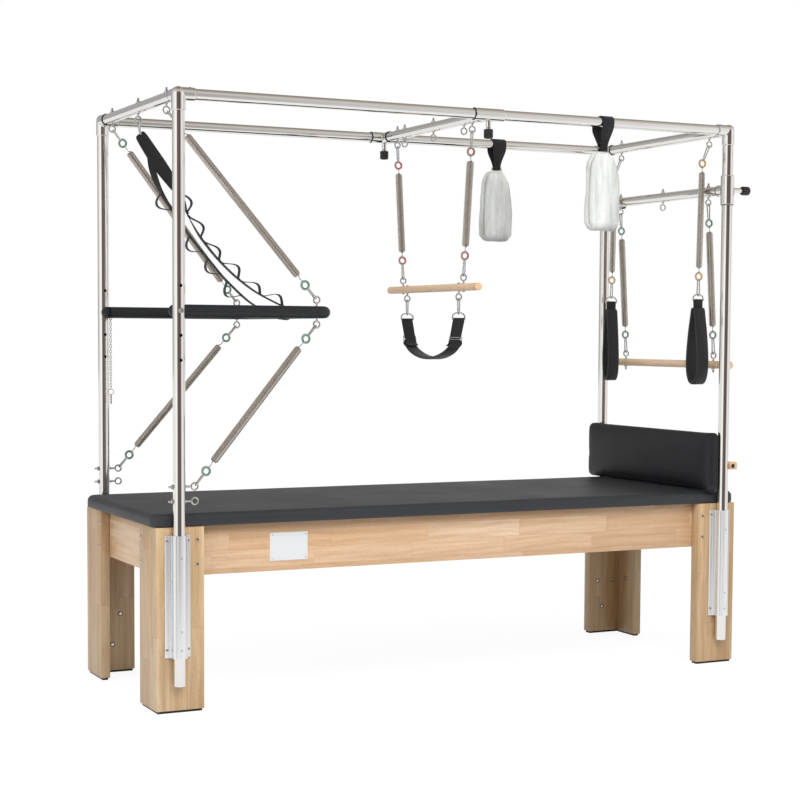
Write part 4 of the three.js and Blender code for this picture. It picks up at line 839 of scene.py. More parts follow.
def fluted_grip(place, way, screw_long):
    """A fluted grip over a bright collar, with its clamp screw behind it."""
    axis = Vector(way).normalized()
    first = axis.cross(Vector((0, 1, 0))).normalized()
    second = axis.cross(first)
    rings = []
    for level_at, share_of in ((0.0042, 0.62), (0.0046, 0.86), (0.006, 0.97), (0.0085, 1.0), (0.031, 1.0),
                               (0.0345, 0.96), (0.0368, 0.84), (0.038, 0.62), (0.0383, 0.3)):
        ring = []
        for k in range(72):
            angle = 2 * math.pi * k / 72
            flute = 0.5 + 0.5 * math.cos(12 * angle)
            radius = (0.017 - 0.0017 * flute ** 2 * (1 if share_of > 0.9 else 0.4)) * share_of
            ring.append(Vector(place) + axis * level_at + first * radius * math.cos(angle)
                        + second * radius * math.sin(angle))
        rings.append(ring)
    collar = turned([(0, 0.0082), (0.0006, 0.0088), (0.004, 0.0088), (0.0043, 0.006)], place, axis, 28, 1)
    screw = turned([(-screw_long, 0.0036), (-screw_long + 0.0006, 0.004), (0.0004, 0.004)], place, axis, 16, 1)
    button = turned([(0.0381, 0.0058), (0.0386, 0.0056), (0.0388, 0.004), (0.0388, 0)], place, axis, 24, 0)
    return [stacked(rings), collar, screw, button]


def carriage(name, x, level, sleeve, boss, seal, eyes, knob, knob_node):
    """A cross-tube between two cast sleeves with seals and knobs.

    Sleeve is its way, radius and half length, boss the knob's way and length, seal a ring's radius and
    wire, and knob its distance from the sleeve's middle and its screw's length.
    """
    way, sleeve_r, half = sleeve
    boss_way, boss_long = boss
    parts = [turned([(-0.405, RAIL_R), (0.405, RAIL_R)], (x, 0, level), (0, 1, 0), TUBE_SIDES)]
    for row, out_y in ROWS:
        spot = np.array((x, out_y * SIDE_POST, level))
        parts.append(fused([
            turned([(-half, 0), (-half, sleeve_r - RIM), (-half + RIM, sleeve_r), (half - RIM, sleeve_r),
                    (half, sleeve_r - RIM), (half, 0)], spot, way, 40),
            turned([(0, 0), (0, SLEEVE_R), (0.05 - RIM, SLEEVE_R), (0.05, SLEEVE_R - RIM), (0.05, 0)], spot,
                   (0, -out_y, 0), 40),
            turned([(0, 0), (0, 0.01), (sleeve_r + boss_long, 0.01), (sleeve_r + boss_long, 0)], spot, boss_way,
                   24)]))
        parts.append(wire_ring(spot - np.array(way) * (half + 0.0005), way, *seal, 2))
        parts.append(wire_ring(spot - (0, out_y * 0.0512, 0), (0, 1, 0), 0.0205, 0.0019, 2))
    for y in eyes:
        parts += eye_bolt((x, y, level), (0, 0, -1), RAIL_R, number=1)
    piece(f"{name}_slider", parts, [cast_steel, bolt_steel, seal_rubber], f"{name}_carriage",
          [f"{name}_carriage"], 50)
    for row, out_y in ROWS:
        place = np.array((x, out_y * SIDE_POST, level)) + np.array(boss_way) * knob[0]
        piece(f"{name}_grip_{row}", fluted_grip(place, boss_way, knob[1]), [grip_plastic, bolt_steel],
              f"{knob_node}_{row}", [f"{knob_node}_{row}"])


carriage("trapeze", TRAPEZE_X, RAIL_LEVEL, ((1, 0, 0), SLEEVE_R, 0.06), ((0, 0, -1), 0.025), (0.0205, 0.0019),
         (-EYE_ROW, -0.247, 0, 0.247, EYE_ROW), (0.0473, 0.0278), "carriage_knob")


# Springs: close-wound bright steel wire whose end turns draw in to a neck. Each end hooks round a ring
# with a coloured liner, which tells its strength, and a snap hook joins the ring to an eye.
spring_wire = plain_finish("spring_wire", "#b9b1a8", "#d5cec6", (0.12, 0.2), 0.1, broad=30.0, fine=900.0,
                           Metallic=1.0)
liners = {name: plain_finish(f"{name}_liner", dark, light, (0.35, 0.5), 0.2, broad=60.0, fine=900.0)
          for name, dark, light in (("green", "#1f6b52", "#2c8a6b"), ("red", "#98262f", "#b53a41"),
                                    ("yellow", "#b98c1d", "#d6a92f"))}
SEAT, RING_R, RING_WIRE, RING_SEAT = 0.004825, 0.0155, 0.0025, 0.0117


def snap_hook(tip, ring_centre):
    """A pear-shaped snap hook from inside an eye to its ring, its sprung gate on one side."""
    tip, ring_centre = np.array(tip, float), np.array(ring_centre, float)
    way = ring_centre - tip
    reach = np.linalg.norm(way)
    way /= reach
    beside = np.cross(way, np.cross((0, 1, 0), way))
    beside /= np.linalg.norm(beside)
    flat = np.cross(way, beside)
    long, wide, narrow = reach - RING_SEAT, 0.0081, 0.0056
    lean = math.acos((wide - narrow) / (long - wide - narrow))
    outline = [(wide + wide * math.cos(a), wide * math.sin(a)) for a in np.linspace(lean, 2 * math.pi - lean, 17)]
    outline += [(long - narrow + narrow * math.cos(a), narrow * math.sin(a)) for a in np.linspace(-lean, lean, 13)]
    line = [tip + way * a + beside * b for a, b in outline]
    span = np.linalg.norm(line[-1] - line[0])
    gate_axis = (line[-1] - line[0]) / span
    gate = [(span * a, b) for a, b in ((0.04, 0.0026), (0.06, 0.0031), (0.12, 0.0031), (0.14, 0.0028), (0.7, 0.0028),
                                       (0.72, 0.0032), (0.8, 0.0032), (0.84, 0.0026))]
    return [swept(line, round_section(0.0025, 10), flat, True), turned(gate, line[0], gate_axis, 12),
            turned([(-0.0034, 0.0012), (0.0034, 0.0012)], line[0] + gate_axis * span * 0.76, flat, 8)]


def lined_ring(centre, way):
    """The spring's ring with its coloured plastic liner inside."""
    way = Vector(way).normalized()
    normal = way.cross(way.cross(Vector((0, 1, 0))))
    return [wire_ring(centre, normal, RING_R, RING_WIRE, 0, 40, 12),
            wire_ring(centre, normal, RING_R - 0.0037, 0.0024, 1, 40, 10)]


def wound_spring(start, end, neck, radius):
    """Close-wound wire between two rings' centres: hooks, necks, drawn-in shoulders and the coil."""
    start, end = np.array(start, float), np.array(end, float)
    way = end - start
    distance = np.linalg.norm(way)
    way /= distance
    first = np.cross(way, (0, 1, 0))
    first /= np.linalg.norm(first)
    second = np.cross(way, first)
    wire, pitch_gap, turn_steps = 0.00175, 0.00005, 12
    body = distance - 2 * (RING_R + neck)
    turns = round(body / (2 * wire + pitch_gap))
    share = np.linspace(0, 1, turns * turn_steps + 1)
    angle = 2 * np.pi * turns * share
    swell = np.clip((np.minimum(share, 1 - share) * turns + 0.25) / 2.6, 0, 1)
    reach = radius * np.sqrt(1 - (1 - swell) ** 2)
    along = RING_R + neck + body * share
    hook_r = RING_WIRE + wire + 0.0002
    head = [(RING_R + hook_r * math.cos(a), hook_r * math.sin(a)) for a in np.linspace(math.pi * 1.25, 0, 9)]
    head += [(RING_R + hook_r + (neck - hook_r) * k / 3, 0.0) for k in (1, 2)]
    lead = np.array([start + way * a + second * b for a, b in head])
    coil = (start + way * along[:, None] + first * (reach * np.cos(angle))[:, None]
            + second * (reach * np.sin(angle))[:, None])
    tail = np.array([end - way * a + second * b for a, b in head])[::-1]
    flat = np.tile(first, (len(lead), 1))
    side = np.concatenate([flat, first * np.cos(angle)[:, None] + second * np.sin(angle)[:, None], flat])
    return swept(np.concatenate([lead, coil, tail]), round_section(wire, 6), side)


def along_way(point, other, distance):
    """The place at a distance from a point towards another."""
    point, other = np.array(point, float), np.array(other, float)
    return point + (other - point) / np.linalg.norm(other - point) * distance


def spring_train(names, trains, neck, liner, near_body, far_body, nodes, radius=0.01225):
    """The springs of one body: near hooks and rings, the coils, and far rings and hooks."""
    near, far, coils = [], [], []
    for near_tip, near_ring, far_ring, far_tip in trains:
        near += snap_hook(near_tip, near_ring) + lined_ring(near_ring, near_ring - near_tip)
        far += snap_hook(far_tip, far_ring) + lined_ring(far_ring, far_ring - far_tip)
        coils.append(wound_spring(near_ring, far_ring, neck, radius))
    metals = [bolt_steel, liners[liner]]
    piece(names[0], near, metals, near_body)
    piece(names[1], far, metals, far_body)
    wound = piece(names[2], coils, [spring_wire], None, nodes, 80)
    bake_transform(wound)


def paired_springs(name, near_eye, far_eye, reach, neck, liner, far_body, nodes):
    """A front and a back spring from eye to eye. Reach is the length of a snap hook with its ring."""
    trains = []
    for s in (-1, 1):
        near, far = (np.array((x, s * y, z)) for x, y, z in (near_eye, far_eye))
        trains.append((along_way(near, far, SEAT), along_way(near, far, SEAT + reach),
                       along_way(far, near, SEAT + reach), along_way(far, near, SEAT)))
    spring_train([f"{name}_{part}" for part in ("near_hooks", "far_hooks", "coils")], trains, neck, liner, name,
                 far_body, [f"{node}_{row}" for node in nodes for row, _ in ROWS])


BAR_EYE_ROW, SLING_ROW = 0.253, 0.216
paired_springs("trapeze_springs", (TRAPEZE_X, EYE_ROW, HANGING_EYE), (TRAPEZE_X, BAR_EYE_ROW, 1.4855), 0.075, 0.018,
               "red", "trapeze_bar", ["trapeze_spring"])


# Trapeze bar: a turned blond dowel with straight-cut ends, an eye bolted through it above and below
# at each side for the springs and the sling.
bar_wood = wood_finish("bar_wood", "Y", "Z", 0.09, 0.33, 0.4)
BAR_R, BAR_LEVEL = 0.014, 1.45


def turned_bar(node, x, level, radius):
    """A dowel as long as its CAD node, its ends just eased."""
    low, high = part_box(node)
    return turned([(low[1], radius - 0.0012), (low[1] + 0.0012, radius), (high[1] - 0.0012, radius),
                   (high[1], radius - 0.0012)], (x, 0, level), (0, 1, 0), 40)


dowel = [turned_bar("trapeze_bar", TRAPEZE_X, BAR_LEVEL, BAR_R)]
for s in (-1, 1):
    for y, way in ((s * BAR_EYE_ROW, 1), (s * SLING_ROW, -1)):
        dowel += screw_eye((TRAPEZE_X, y, BAR_LEVEL), (0, 0, way), BAR_R, number=1)
        dowel.append(turned([(BAR_R - 0.001, 0.0062), (BAR_R + 0.0014, 0.0062), (BAR_R + 0.0036, 0.0044),
                             (BAR_R + 0.0036, 0)], (TRAPEZE_X, y, BAR_LEVEL), (0, 0, -way), 16, 1))
piece("trapeze_dowel", dowel, [bar_wood, bolt_steel], "trapeze_bar", ["trapeze_bar"])


# Sling: a padded black band for the hips, sewn to 45 mm webbing that runs up to a D-ring at each side.
# The webbing is folded back on itself through slider buckles, and snap hooks hold the rings.
weave, given, result = effect("flat_weave", {"Along": 0.0, "Across": 0.0, "Pitch": 0.0016}, ("Height", "Tone"))
warp, weft = [maths("SINE", maths("DIVIDE", maths("MULTIPLY", given[label], 3.1416), given["Pitch"]))
              for label in ("Along", "Across")]
crossing = maths("MULTIPLY", warp, weft)
fibre = clouded(combined(given["Along"], given["Across"]), 180.0, 4.0)
# The threads' rising crossings are lighter in tone: a painted highlight on the weave, over the fibres' uneven tone.
give(result, Height=maths("ADD", maths("MULTIPLY_ADD", crossing, 0.4, 0.5), maths("MULTIPLY", fibre, 0.3)),
     Tone=maths("MULTIPLY_ADD", crossing, 0.25, maths("MULTIPLY", fibre, 0.8)))


def webbing_finish(name, dark, light, pitch, rough=0.7, sheen=0.15):
    """Woven webbing whose threads follow the piece's run."""
    def feed(tree):
        run = add_node(tree, "Attribute", attribute_name="run").outputs["Vector"]
        axes = add_node(tree, "SeparateXYZ", {"Vector": run}).outputs
        return {"Along": axes["X"], "Across": axes["Y"], "Pitch": pitch}

    return finish(name, weave, feed, lambda tree, done: mixed(tree, done["Tone"], tone(dark), tone(light)),
                  lambda done: spread(done["Tone"], 0.0, 1.0, rough, rough + 0.12), 0.5, 0.0004, Sheen_Weight=sheen)


web_black = webbing_finish("web_black", "#0c0c0d", "#1b1b1e", 0.0016)
pad_black = webbing_finish("pad_black", "#131314", "#1f1f21", 0.0011, 0.55, 0.1)


def flat_section(width, thickness, corner_steps=3):
    """A strap's section: flat faces and rounded edges, as (side, outward) points."""
    radius = min(thickness, width) / 2 * 0.96
    return [(sx * (width / 2 - radius) + radius * math.cos(angle),
             sy * (thickness / 2 - radius) + radius * math.sin(angle))
            for sx, sy, start in QUARTERS for angle in np.radians(start + np.linspace(0, 90, corner_steps + 1))]


def flowing(points, steps=8):
    """A smooth line through the points."""
    points = np.asarray(points, float)
    last = len(points) - 1
    line = []
    for k in range(last):
        a, b, c, d = points[max(k - 1, 0)], points[k], points[k + 1], points[min(k + 2, last)]
        for t in np.arange(steps) / steps:
            line.append(0.5 * (2 * b + (c - a) * t + (2 * a - 5 * b + 4 * c - d) * t ** 2
                               + (3 * b - a - 3 * c + d) * t ** 3))
    return np.array(line + [points[-1]])


def strap_along(points, steps, width, thickness, side, number, corner_steps=3):
    """A strap of one width along a smooth line through the points."""
    return swept(flowing(points, steps), flat_section(width, thickness, corner_steps), side, False, number)


def dee_ring(centre, side, width, rise, wire):
    """A D-ring: a straight bar along the side vector and a round bow above it."""
    side = Vector(side).normalized()
    up = Vector((0, 0, 1))
    outline = [(-width / 2, 0), (-width / 2, rise * 0.25)]
    outline += [(width / 2 * math.cos(a), rise * 0.35 + rise * 0.65 * math.sin(a))
                for a in np.linspace(math.pi * 0.92, math.pi * 0.08, 12)]
    outline += [(width / 2, rise * 0.25), (width / 2, 0), (width / 4, -0.0004), (-width / 4, -0.0004)]
    line = [Vector(centre) + side * a + up * b for a, b in outline]
    return swept(line, round_section(wire, 10), side.cross(up), True)


SLING_EYE = 1.4145 - SEAT
SLING_TOP, SEAT_HALF = SLING_EYE - 0.062, 0.194
seat_half = [(SEAT_HALF, 0.103), (0.178, 0.119), (0.15, 0.1345), (0.11, 0.148), (0.058, 0.1585)]
seat_line = [(TRAPEZE_X, -a, SLING_TOP - b) for a, b in seat_half] + [(TRAPEZE_X, 0, SLING_TOP - 0.162)]
seat_line = flowing(seat_line + [(TRAPEZE_X, a, SLING_TOP - b) for a, b in seat_half[::-1]], 6)
seat_sections = np.array([flat_section(0.052 - 0.008 * a ** 8, 0.0105 - 0.005 * a ** 6)
                          for a in np.abs(seat_line[:, 1]) / SEAT_HALF])
seat_pad = piece("sling_seat_band", [swept(seat_line, seat_sections, (1, 0, 0))], [pad_black], "trapeze_sling",
                 ["trapeze_sling"], 50)
sling_straps = (
    (((0.2192, 0.021), (0.2198, 0.0165), (0.216, 0.0112), (0.2122, 0.0165), (0.2122, 0.021), (0.201, 0.05),
      (0.1868, 0.088), (0.178, 0.104), (0.16, 0.115)), 0.045, 0.0024),
    (((0.2192, 0.021), (0.2155, 0.031), (0.204, 0.058), (0.1925, 0.087)), 0.045, 0.0024),
    (((0.196, 0.094), (0.2005, 0.104), (0.1945, 0.112), (0.182, 0.119)), 0.048, 0.003))
trim = []
for s in (-1, 1):
    trim += snap_hook((TRAPEZE_X, s * SLING_ROW, SLING_EYE), (TRAPEZE_X, s * SLING_ROW, SLING_TOP - 0.008))
    trim.append(dee_ring((TRAPEZE_X, s * SLING_ROW, SLING_TOP - 0.0155), (1, 0, 0), 0.052, 0.0245, 0.0028))
    for points, width, thickness in sling_straps:
        trim.append(strap_along([(TRAPEZE_X, s * a, SLING_TOP - b) for a, b in points], 5, width, thickness,
                                (1, 0, 0), 1))
    base = Vector((TRAPEZE_X, s * 0.1915, SLING_TOP - 0.0905))
    slope = Vector((0, -s * 0.3, -0.95)).normalized()
    for lift in (-0.0085, 0.0, 0.0085) if s < 0 else (-0.012, -0.004, 0.004, 0.012):
        trim.append(turned([(-0.027, 0.0), (-0.027, 0.0017), (0.027, 0.0017), (0.027, 0.0)], base + slope * lift,
                           (1, 0, 0), 12, 0))
    reach = 0.0098 if s < 0 else 0.0133
    for side in (-0.0265, 0.0265):
        trim.append(turned([(-reach, 0.0), (-reach, 0.0018), (reach, 0.0018), (reach, 0.0)],
                           base + Vector((side, 0, 0)), slope, 12, 0))
piece("sling_hardware", trim, [bolt_steel, web_black], "trapeze_sling")


# Roll-down unit: a second carriage clamped to the right posts, with its knobs outwards, two springs
# and a wooden bar that hangs just outside the posts.
CLAMP_LEVEL = 1.835
carriage("roll_down", RIGHT_POST, CLAMP_LEVEL, ((0, 0, 1), 0.026, 0.056), ((1, 0, 0), 0.036), (0.0232, 0.0017),
         (-EYE_ROW, 0, EYE_ROW), (0.0623, 0.041), "roll_down_knob")
ROLL_X, ROLL_LEVEL, ROLL_R = 1.13215, 1.163, 0.015
paired_springs("roll_down_springs", (RIGHT_POST, EYE_ROW, 1.7945), (ROLL_X, EYE_ROW, 1.1995), 0.075, 0.018, "green",
               "roll_down_bar", ["roll_down_spring"])
dowel = [turned_bar("roll_down_bar", ROLL_X, ROLL_LEVEL, ROLL_R)]
for s in (-1, 1):
    dowel += eye_bolt((ROLL_X, s * EYE_ROW, ROLL_LEVEL), (0, 0, 1), ROLL_R, number=1)
piece("roll_down_dowel", dowel, [bar_wood, bolt_steel], "roll_down_bar", ["roll_down_bar"])


# Push-through bar: a 42 mm tube bent to a U in matt dark powder coat. Its domed arm ends turn on pins
# through the left posts, and an eye above and below each arm takes the springs.
coat = plain_finish("powder_coat", "#0f1114", "#191c20", (0.5, 0.6), 0.55, broad=9.0, fine=1600.0, depth=0.0002)
PIVOT_LEVEL, PUSH_R, ARM_Y, PUSH_REACH, PUSH_BEND, PUSH_EYE = 1.35, 0.021, 0.389, 0.557, 0.042, 0.0425
POST_FACE, EYE_X = SIDE_POST + POST_R + 0.0003, LEFT_POST + 0.514
bend = [(PUSH_REACH - PUSH_BEND + PUSH_BEND * math.sin(a), -ARM_Y + PUSH_BEND - PUSH_BEND * math.cos(a))
        for a in np.linspace(0, math.pi / 2, 10)]
outline = [(0.0, -ARM_Y), (0.25, -ARM_Y)] + bend + [(PUSH_REACH, 0.0)]
outline += [(a, -b) for a, b in outline[:-1][::-1]]
bar = [swept([(LEFT_POST + a, b, PIVOT_LEVEL) for a, b in outline], round_section(PUSH_R, 40), (0, 0, 1))]
dome = [(-PUSH_R, 0)] + [(-PUSH_R * math.sin(a), PUSH_R * math.cos(a)) for a in np.linspace(math.pi / 2, 0, 9)[1:]]
for s in (-1, 1):
    arm_end = (LEFT_POST, s * ARM_Y, PIVOT_LEVEL)
    bar.append(turned(dome + [(0.012, PUSH_R)], arm_end, (1, 0, 0), 40))
    bar.append(turned([(0.0, 0.0054), (POST_FACE - ARM_Y, 0.0054)], arm_end, (0, s, 0), 20, 1))
    bar.append(turned([(0, 0.0086), (0.0006, 0.009), (0.0046, 0.009), (0.006, 0.0076), (0.006, 0.0036),
                       (0.0044, 0.0034), (0.0044, 0)], (LEFT_POST, s * POST_FACE, PIVOT_LEVEL), (0, s, 0), 28, 1))
    for way in (1, -1):
        bar += screw_eye((EYE_X, s * ARM_Y, PIVOT_LEVEL), (0, 0, way), PUSH_R, number=1)
piece("push_tube", bar, [coat, bolt_steel], "push_through_bar", ["push_through_bar"])
for part, near_eye, far_level in (("upper", (LEFT_POST, EYE_ROW, HANGING_EYE), PIVOT_LEVEL + PUSH_EYE),
                                  ("lower", (LEFT_POST + POST_EYE_REACH, SIDE_POST, POST_EYE_LEVELS[0]),
                                   PIVOT_LEVEL - PUSH_EYE)):
    paired_springs(f"push_{part}_springs", near_eye, (EYE_X, ARM_Y, far_level), 0.06, 0.026, "green",
                   f"push_{part}_hooks", [f"push_{part}_spring", f"push_{part}_hook"])


# Arm springs and hand loops: two light springs on the right cross-bar, each with a D-ring, a webbing
# tab and a padded black loop that is narrow above and round below.
def arm_place(y, drop):
    """A place on the arm spring's slightly leaning line, by its drop below the rails."""
    return np.array((RIGHT_POST - 0.0336 - 0.02 * (drop - 0.225), y, RAIL_LEVEL - drop))


LOOP_DROP, ARM_RING_DROP, ARM_TIP_DROP = 0.6302, 0.115, 0.628
for row, s, turned_by, wide, band in (("front", -1, 90, 0.037, 0.052), ("back", 1, 78, 0.034, 0.048)):
    y = s * EYE_ROW
    near_ring, far_tip = arm_place(y, ARM_RING_DROP), arm_place(y, ARM_TIP_DROP)
    train = (along_way((RIGHT_POST, y, HANGING_EYE), near_ring, 0.005), near_ring,
             along_way(far_tip, near_ring, 0.075), far_tip)
    spring_train([f"arm_{part}_{row}" for part in ("near_hook", "far_hook", "coil")], [train], 0.018, "yellow",
                 f"arm_spring_{row}", f"arm_loop_{row}", [f"arm_spring_{row}"], 0.0109)
    centre = Vector(arm_place(y, LOOP_DROP))
    spread_way = Vector((math.cos(math.radians(turned_by)), math.sin(math.radians(turned_by)), 0))
    band_way = Vector((0, 0, 1)).cross(spread_way)

    def in_loop(points):
        return [centre + spread_way * a + Vector((0, 0, b)) for a, b in points]

    half = [(0.0075, -0.045), (0.0125, -0.075), (wide * 0.68, -0.14), (wide * 0.93, -0.21), (wide, -0.262),
            (wide * 0.86, -0.305), (wide * 0.48, -0.3315)]
    line = flowing(in_loop(half + [(0.0, -0.3375)] + [(-a, b) for a, b in half[::-1]]), 6)
    sections = []
    for share_at in np.linspace(0, 1, len(line)):
        body_of = min(1.0, min(share_at, 1 - share_at) / 0.03)
        puff = 1 + 0.03 * math.sin(share_at * 61) * body_of
        sections.append(flat_section(band * (0.9 + 0.1 * body_of), (0.008 + 0.005 * body_of ** 0.5) * puff, 4))
    hand = piece(f"hand_loop_{row}", [swept(line, np.array(sections), band_way)], [pad_black], f"arm_loop_{row}",
                 [f"arm_loop_{row}"], 50)
    tab_half = [(0.0052, -0.088), (0.0045, -0.06), (0.0038, -0.03), (0.0045, -0.0175)]
    tab_line = in_loop(tab_half + [(0.0, -0.0122)] + [(-a, b) for a, b in tab_half[::-1]])
    trim = [strap_along(tab_line, 5, 0.038, 0.0034, band_way, 1),
            dee_ring(centre + Vector((0, 0, -0.0168)), band_way, 0.047, 0.0245, 0.0028)]
    for level_at in (-0.036, -0.044):
        trim.append(swept(in_loop([(0.0068, level_at), (-0.0068, level_at)]), flat_section(0.034, 0.0011), band_way,
                          False, 1))
    piece(f"hand_loop_tab_{row}", trim, [bolt_steel, web_black], f"arm_loop_{row}")


# Fleece loops: a wide black strap goes round the rail and narrows to a tab with a small D-ring. Below
# it hangs a thick loop of white curly fleece, pinched at the top and softly creased.
pile, given, result = effect("curly_pile", {"Vector": None}, ("Height", "Tone"))
curl = clouded(given["Vector"], 260.0, 4.0, Distortion=1.4)
tuft = clouded(given["Vector"], 60.0, 3.0, Distortion=0.8)
# Stretched noise draws darker streaks down the pile, and the curls' low spots are darker too: painted shade of the
# pile's hollows on white fleece.
drawn_out = add_node(pile, "Mapping", {"Vector": given["Vector"], "Scale": (14, 14, 4)}).outputs["Vector"]
painted_hollow_shade = clouded(drawn_out, 1.0, 3.0)
give(result, Height=maths("ADD", maths("MULTIPLY", curl, 0.5), tuft),
     Tone=maths("MULTIPLY_ADD", painted_hollow_shade, 0.75, maths("MULTIPLY", curl, 0.3)))
fleece_white = finish(
    "fleece_white", pile, at_place,
    lambda tree, done: ramp(done["Tone"], [(0.3, tone("#a2a29b")), (0.5, tone("#bbbcb8")), (0.7, tone("#d6d7d4"))]),
    lambda done: spread(done["Tone"], 0.0, 1.0, 0.85, 0.95), 0.7, 0.002, Sheen_Weight=0.3)
BOW, PILE_TOP, PILE_LOW = 0.0178, -0.1405, -0.3665
for row, x, s, lean, strap_more, seed in (("front", 0.52985, -1, 0.011, 0.019, 1.0),
                                          ("back", 0.56285, 1, 0.004, 0.029, 2.2)):
    y = s * SIDE_POST
    straight = np.linspace(PILE_TOP, PILE_LOW, 34)[1:-1]
    arc_steps = np.linspace(-math.pi / 2, math.pi / 2, 13)
    line = [[x, y + BOW * math.sin(a), PILE_TOP + BOW * math.cos(a)] for a in arc_steps]
    line += [[x, y + BOW, level_at] for level_at in straight]
    line += [[x, y + BOW * math.sin(a), PILE_LOW - BOW * math.cos(a)] for a in arc_steps[::-1]]
    line = np.array(line + [[x, y - BOW, level_at] for level_at in straight[::-1]])
    drop = -0.1188 - line[:, 2]
    left = np.interp(drop, (0, 0.012, 0.035, 0.08, 0.2, 0.25, 0.27),
                     (0.026, 0.045, 0.058, 0.062, 0.065, 0.063, 0.054))
    right = np.interp(drop, (0, 0.012, 0.04, 0.075, 0.11, 0.2, 0.25, 0.27),
                      (0.023, 0.033, 0.045, 0.055, 0.061, 0.063, 0.062, 0.053))
    line[:, 0] += (right - left) / 2
    section_of = []
    side = np.linspace(0.5, -0.5, 25)
    for width in left + right:
        rim = 0.0142 * np.sqrt(np.clip(1 - (np.maximum(0, np.abs(side) * width - (width / 2 - 0.011)) / 0.011) ** 2,
                                       0.02, 1))
        section_of.append(np.concatenate([np.stack([side * width, rim], 1), np.stack([-side * width, -rim], 1)]))
    line[:, 2] += RAIL_LEVEL
    points, faces, number, runs = swept(line, np.array(section_of), (1, 0, 0), True)
    middle = np.array((x, y, RAIL_LEVEL - 0.254))
    for k, point in enumerate(points):
        reach = point - middle
        slant = point[0] + 0.05 * (point[2] - middle[2]) * math.sin(seed)
        crease = noise.noise(Vector((slant * 46, np.sign(reach[1]) * 7.3 + seed, point[2] * 7)))
        crease += 0.5 * noise.noise(Vector((slant * 95, np.sign(reach[1]) * 3.1, point[2] * 13 + seed)))
        lump = noise.noise(Vector(point * 60)) + 0.5 * noise.noise(Vector(point * 140))
        points[k] = point + np.array((np.sign(reach[0]) * min(1, abs(reach[0]) / 0.06) * 0.8, np.sign(reach[1]),
                                      0.3 * np.sign(reach[2]))) * (0.0062 * crease + 0.0012 * lump)
    wool_loop = piece(f"fleece_cover_{row}", [(points, faces, 0, None)], [fleece_white], f"fleece_loop_{row}",
                      [f"fleece_loop_{row}"], 80)
    rounder(wool_loop, "soft")
    half_loop = [(0.0042, -0.106), (0.0062, -0.085), (0.011, -0.058), (0.0185, -0.03), (0.0222, -0.008),
                 (0.0205, 0.0095), (0.0125, 0.019)]
    outline = half_loop + [(0.0, 0.0225)] + [(-a, b) for a, b in half_loop[::-1]]
    line = flowing([(x + lean * np.clip((b + 0.1) / 0.1, 0, 1) - (0.021 if a > 0 else 0.0) * np.clip(
        1 - abs(b + 0.035) / 0.06, 0, 1) * lean / 0.011, y + a, RAIL_LEVEL + b) for a, b in outline], 4)
    sections = []
    for point in line:
        share_at = np.clip((point[2] - RAIL_LEVEL + 0.09) / 0.075, 0, 1)
        share_at = share_at * share_at * (3 - 2 * share_at)
        sections.append(flat_section(0.031 + strap_more * share_at, 0.0028, 2))
    tab_line = [(x, y + a, RAIL_LEVEL + b) for a, b in ((0.003, -0.142), (0.003, -0.122), (0.0, -0.112),
                                                        (-0.003, -0.122), (-0.003, -0.142))]
    trim = [swept(line, np.array(sections), (1, 0, 0), False, 1),
            dee_ring((x, y, RAIL_LEVEL - 0.112), (1, 0, 0), 0.045, 0.022, 0.0024),
            strap_along(tab_line, 4, 0.03, 0.0026, (1, 0, 0), 1, 2)]
    for level_at, reach in ((-0.076, 0.0151), (-0.094, 0.0115)):
        trim.append(swept([(x, y - reach, RAIL_LEVEL + level_at), (x, y + reach, RAIL_LEVEL + level_at)],
                          flat_section(0.034, 0.0016, 2), (1, 0, 0), False, 1))
    piece(f"fleece_strap_{row}", trim, [bolt_steel, web_black], f"fleece_loop_{row}")


# Looped stretching strap: black webbing hooked to the middle eye of the left cross-bar. A padded upper
# length divides into two strands round the push-through bar, with small webbing loops sewn along both.
FOLD_X, FOLD_Z = 0.0084, 0.6142


def on_strap(outline):
    """Strap places, as (across, up) from the bar's pivot, in the model."""
    return np.array([(LEFT_POST + point[0], 0.0, PIVOT_LEVEL + point[1]) for point in outline])


def strap_length(stations):
    """A length of strap through (across, up, width, thickness, turn) stations; a turn of 90 faces the front."""
    smooth = flowing(stations, 6)
    line = on_strap(smooth)
    way = np.gradient(line, axis=0)
    beside = np.cross(way / np.linalg.norm(way, axis=1, keepdims=True), (0, 1, 0))
    turn = np.radians(smooth[:, 4:5])
    side = np.cos(turn) * np.array([(0, 1, 0)]) + np.sin(turn) * beside
    return swept(line, np.array([flat_section(w, d, 3) for w, d in smooth[:, 2:4]]), side)


def plain_stations(*places):
    """Stations of the strand's usual width and thickness, without a turn."""
    return [(a, b, 0.025, 0.003, 0) for a, b in places]


upper = [(0.13, 0.447, 0.034, 0.004, 90), (0.15, 0.415, 0.028, 0.0034, 84), (0.166, 0.385, 0.026, 0.003, 60),
         (0.184, 0.34, 0.025, 0.003, 22), (0.219, 0.281, 0.025, 0.003, 4)]
upper += plain_stations((0.25, 0.241), (0.288, 0.198), (0.328, 0.159), (0.38, 0.116), (0.443, 0.074), (0.515, 0.039),
                        (0.5475, 0.0256))
around = plain_stations(*((0.557 + 0.0236 * math.cos(a), 0.0236 * math.sin(a)) for a in np.linspace(1.7, -1.75, 11)))
lower = plain_stations((0.51, -0.014), (0.43, 0.03), (0.396, 0.054), (0.351, 0.093), (0.308, 0.134), (0.263, 0.185),
                       (0.213, 0.241), (0.166, 0.3))
lower += [(0.114, 0.374, 0.025, 0.003, 4), (0.084, 0.421, 0.025, 0.003, 15), (0.065, 0.46, 0.025, 0.003, 35),
          (0.051, 0.5, 0.024, 0.003, 65), (0.043, 0.54, 0.022, 0.003, 85)]
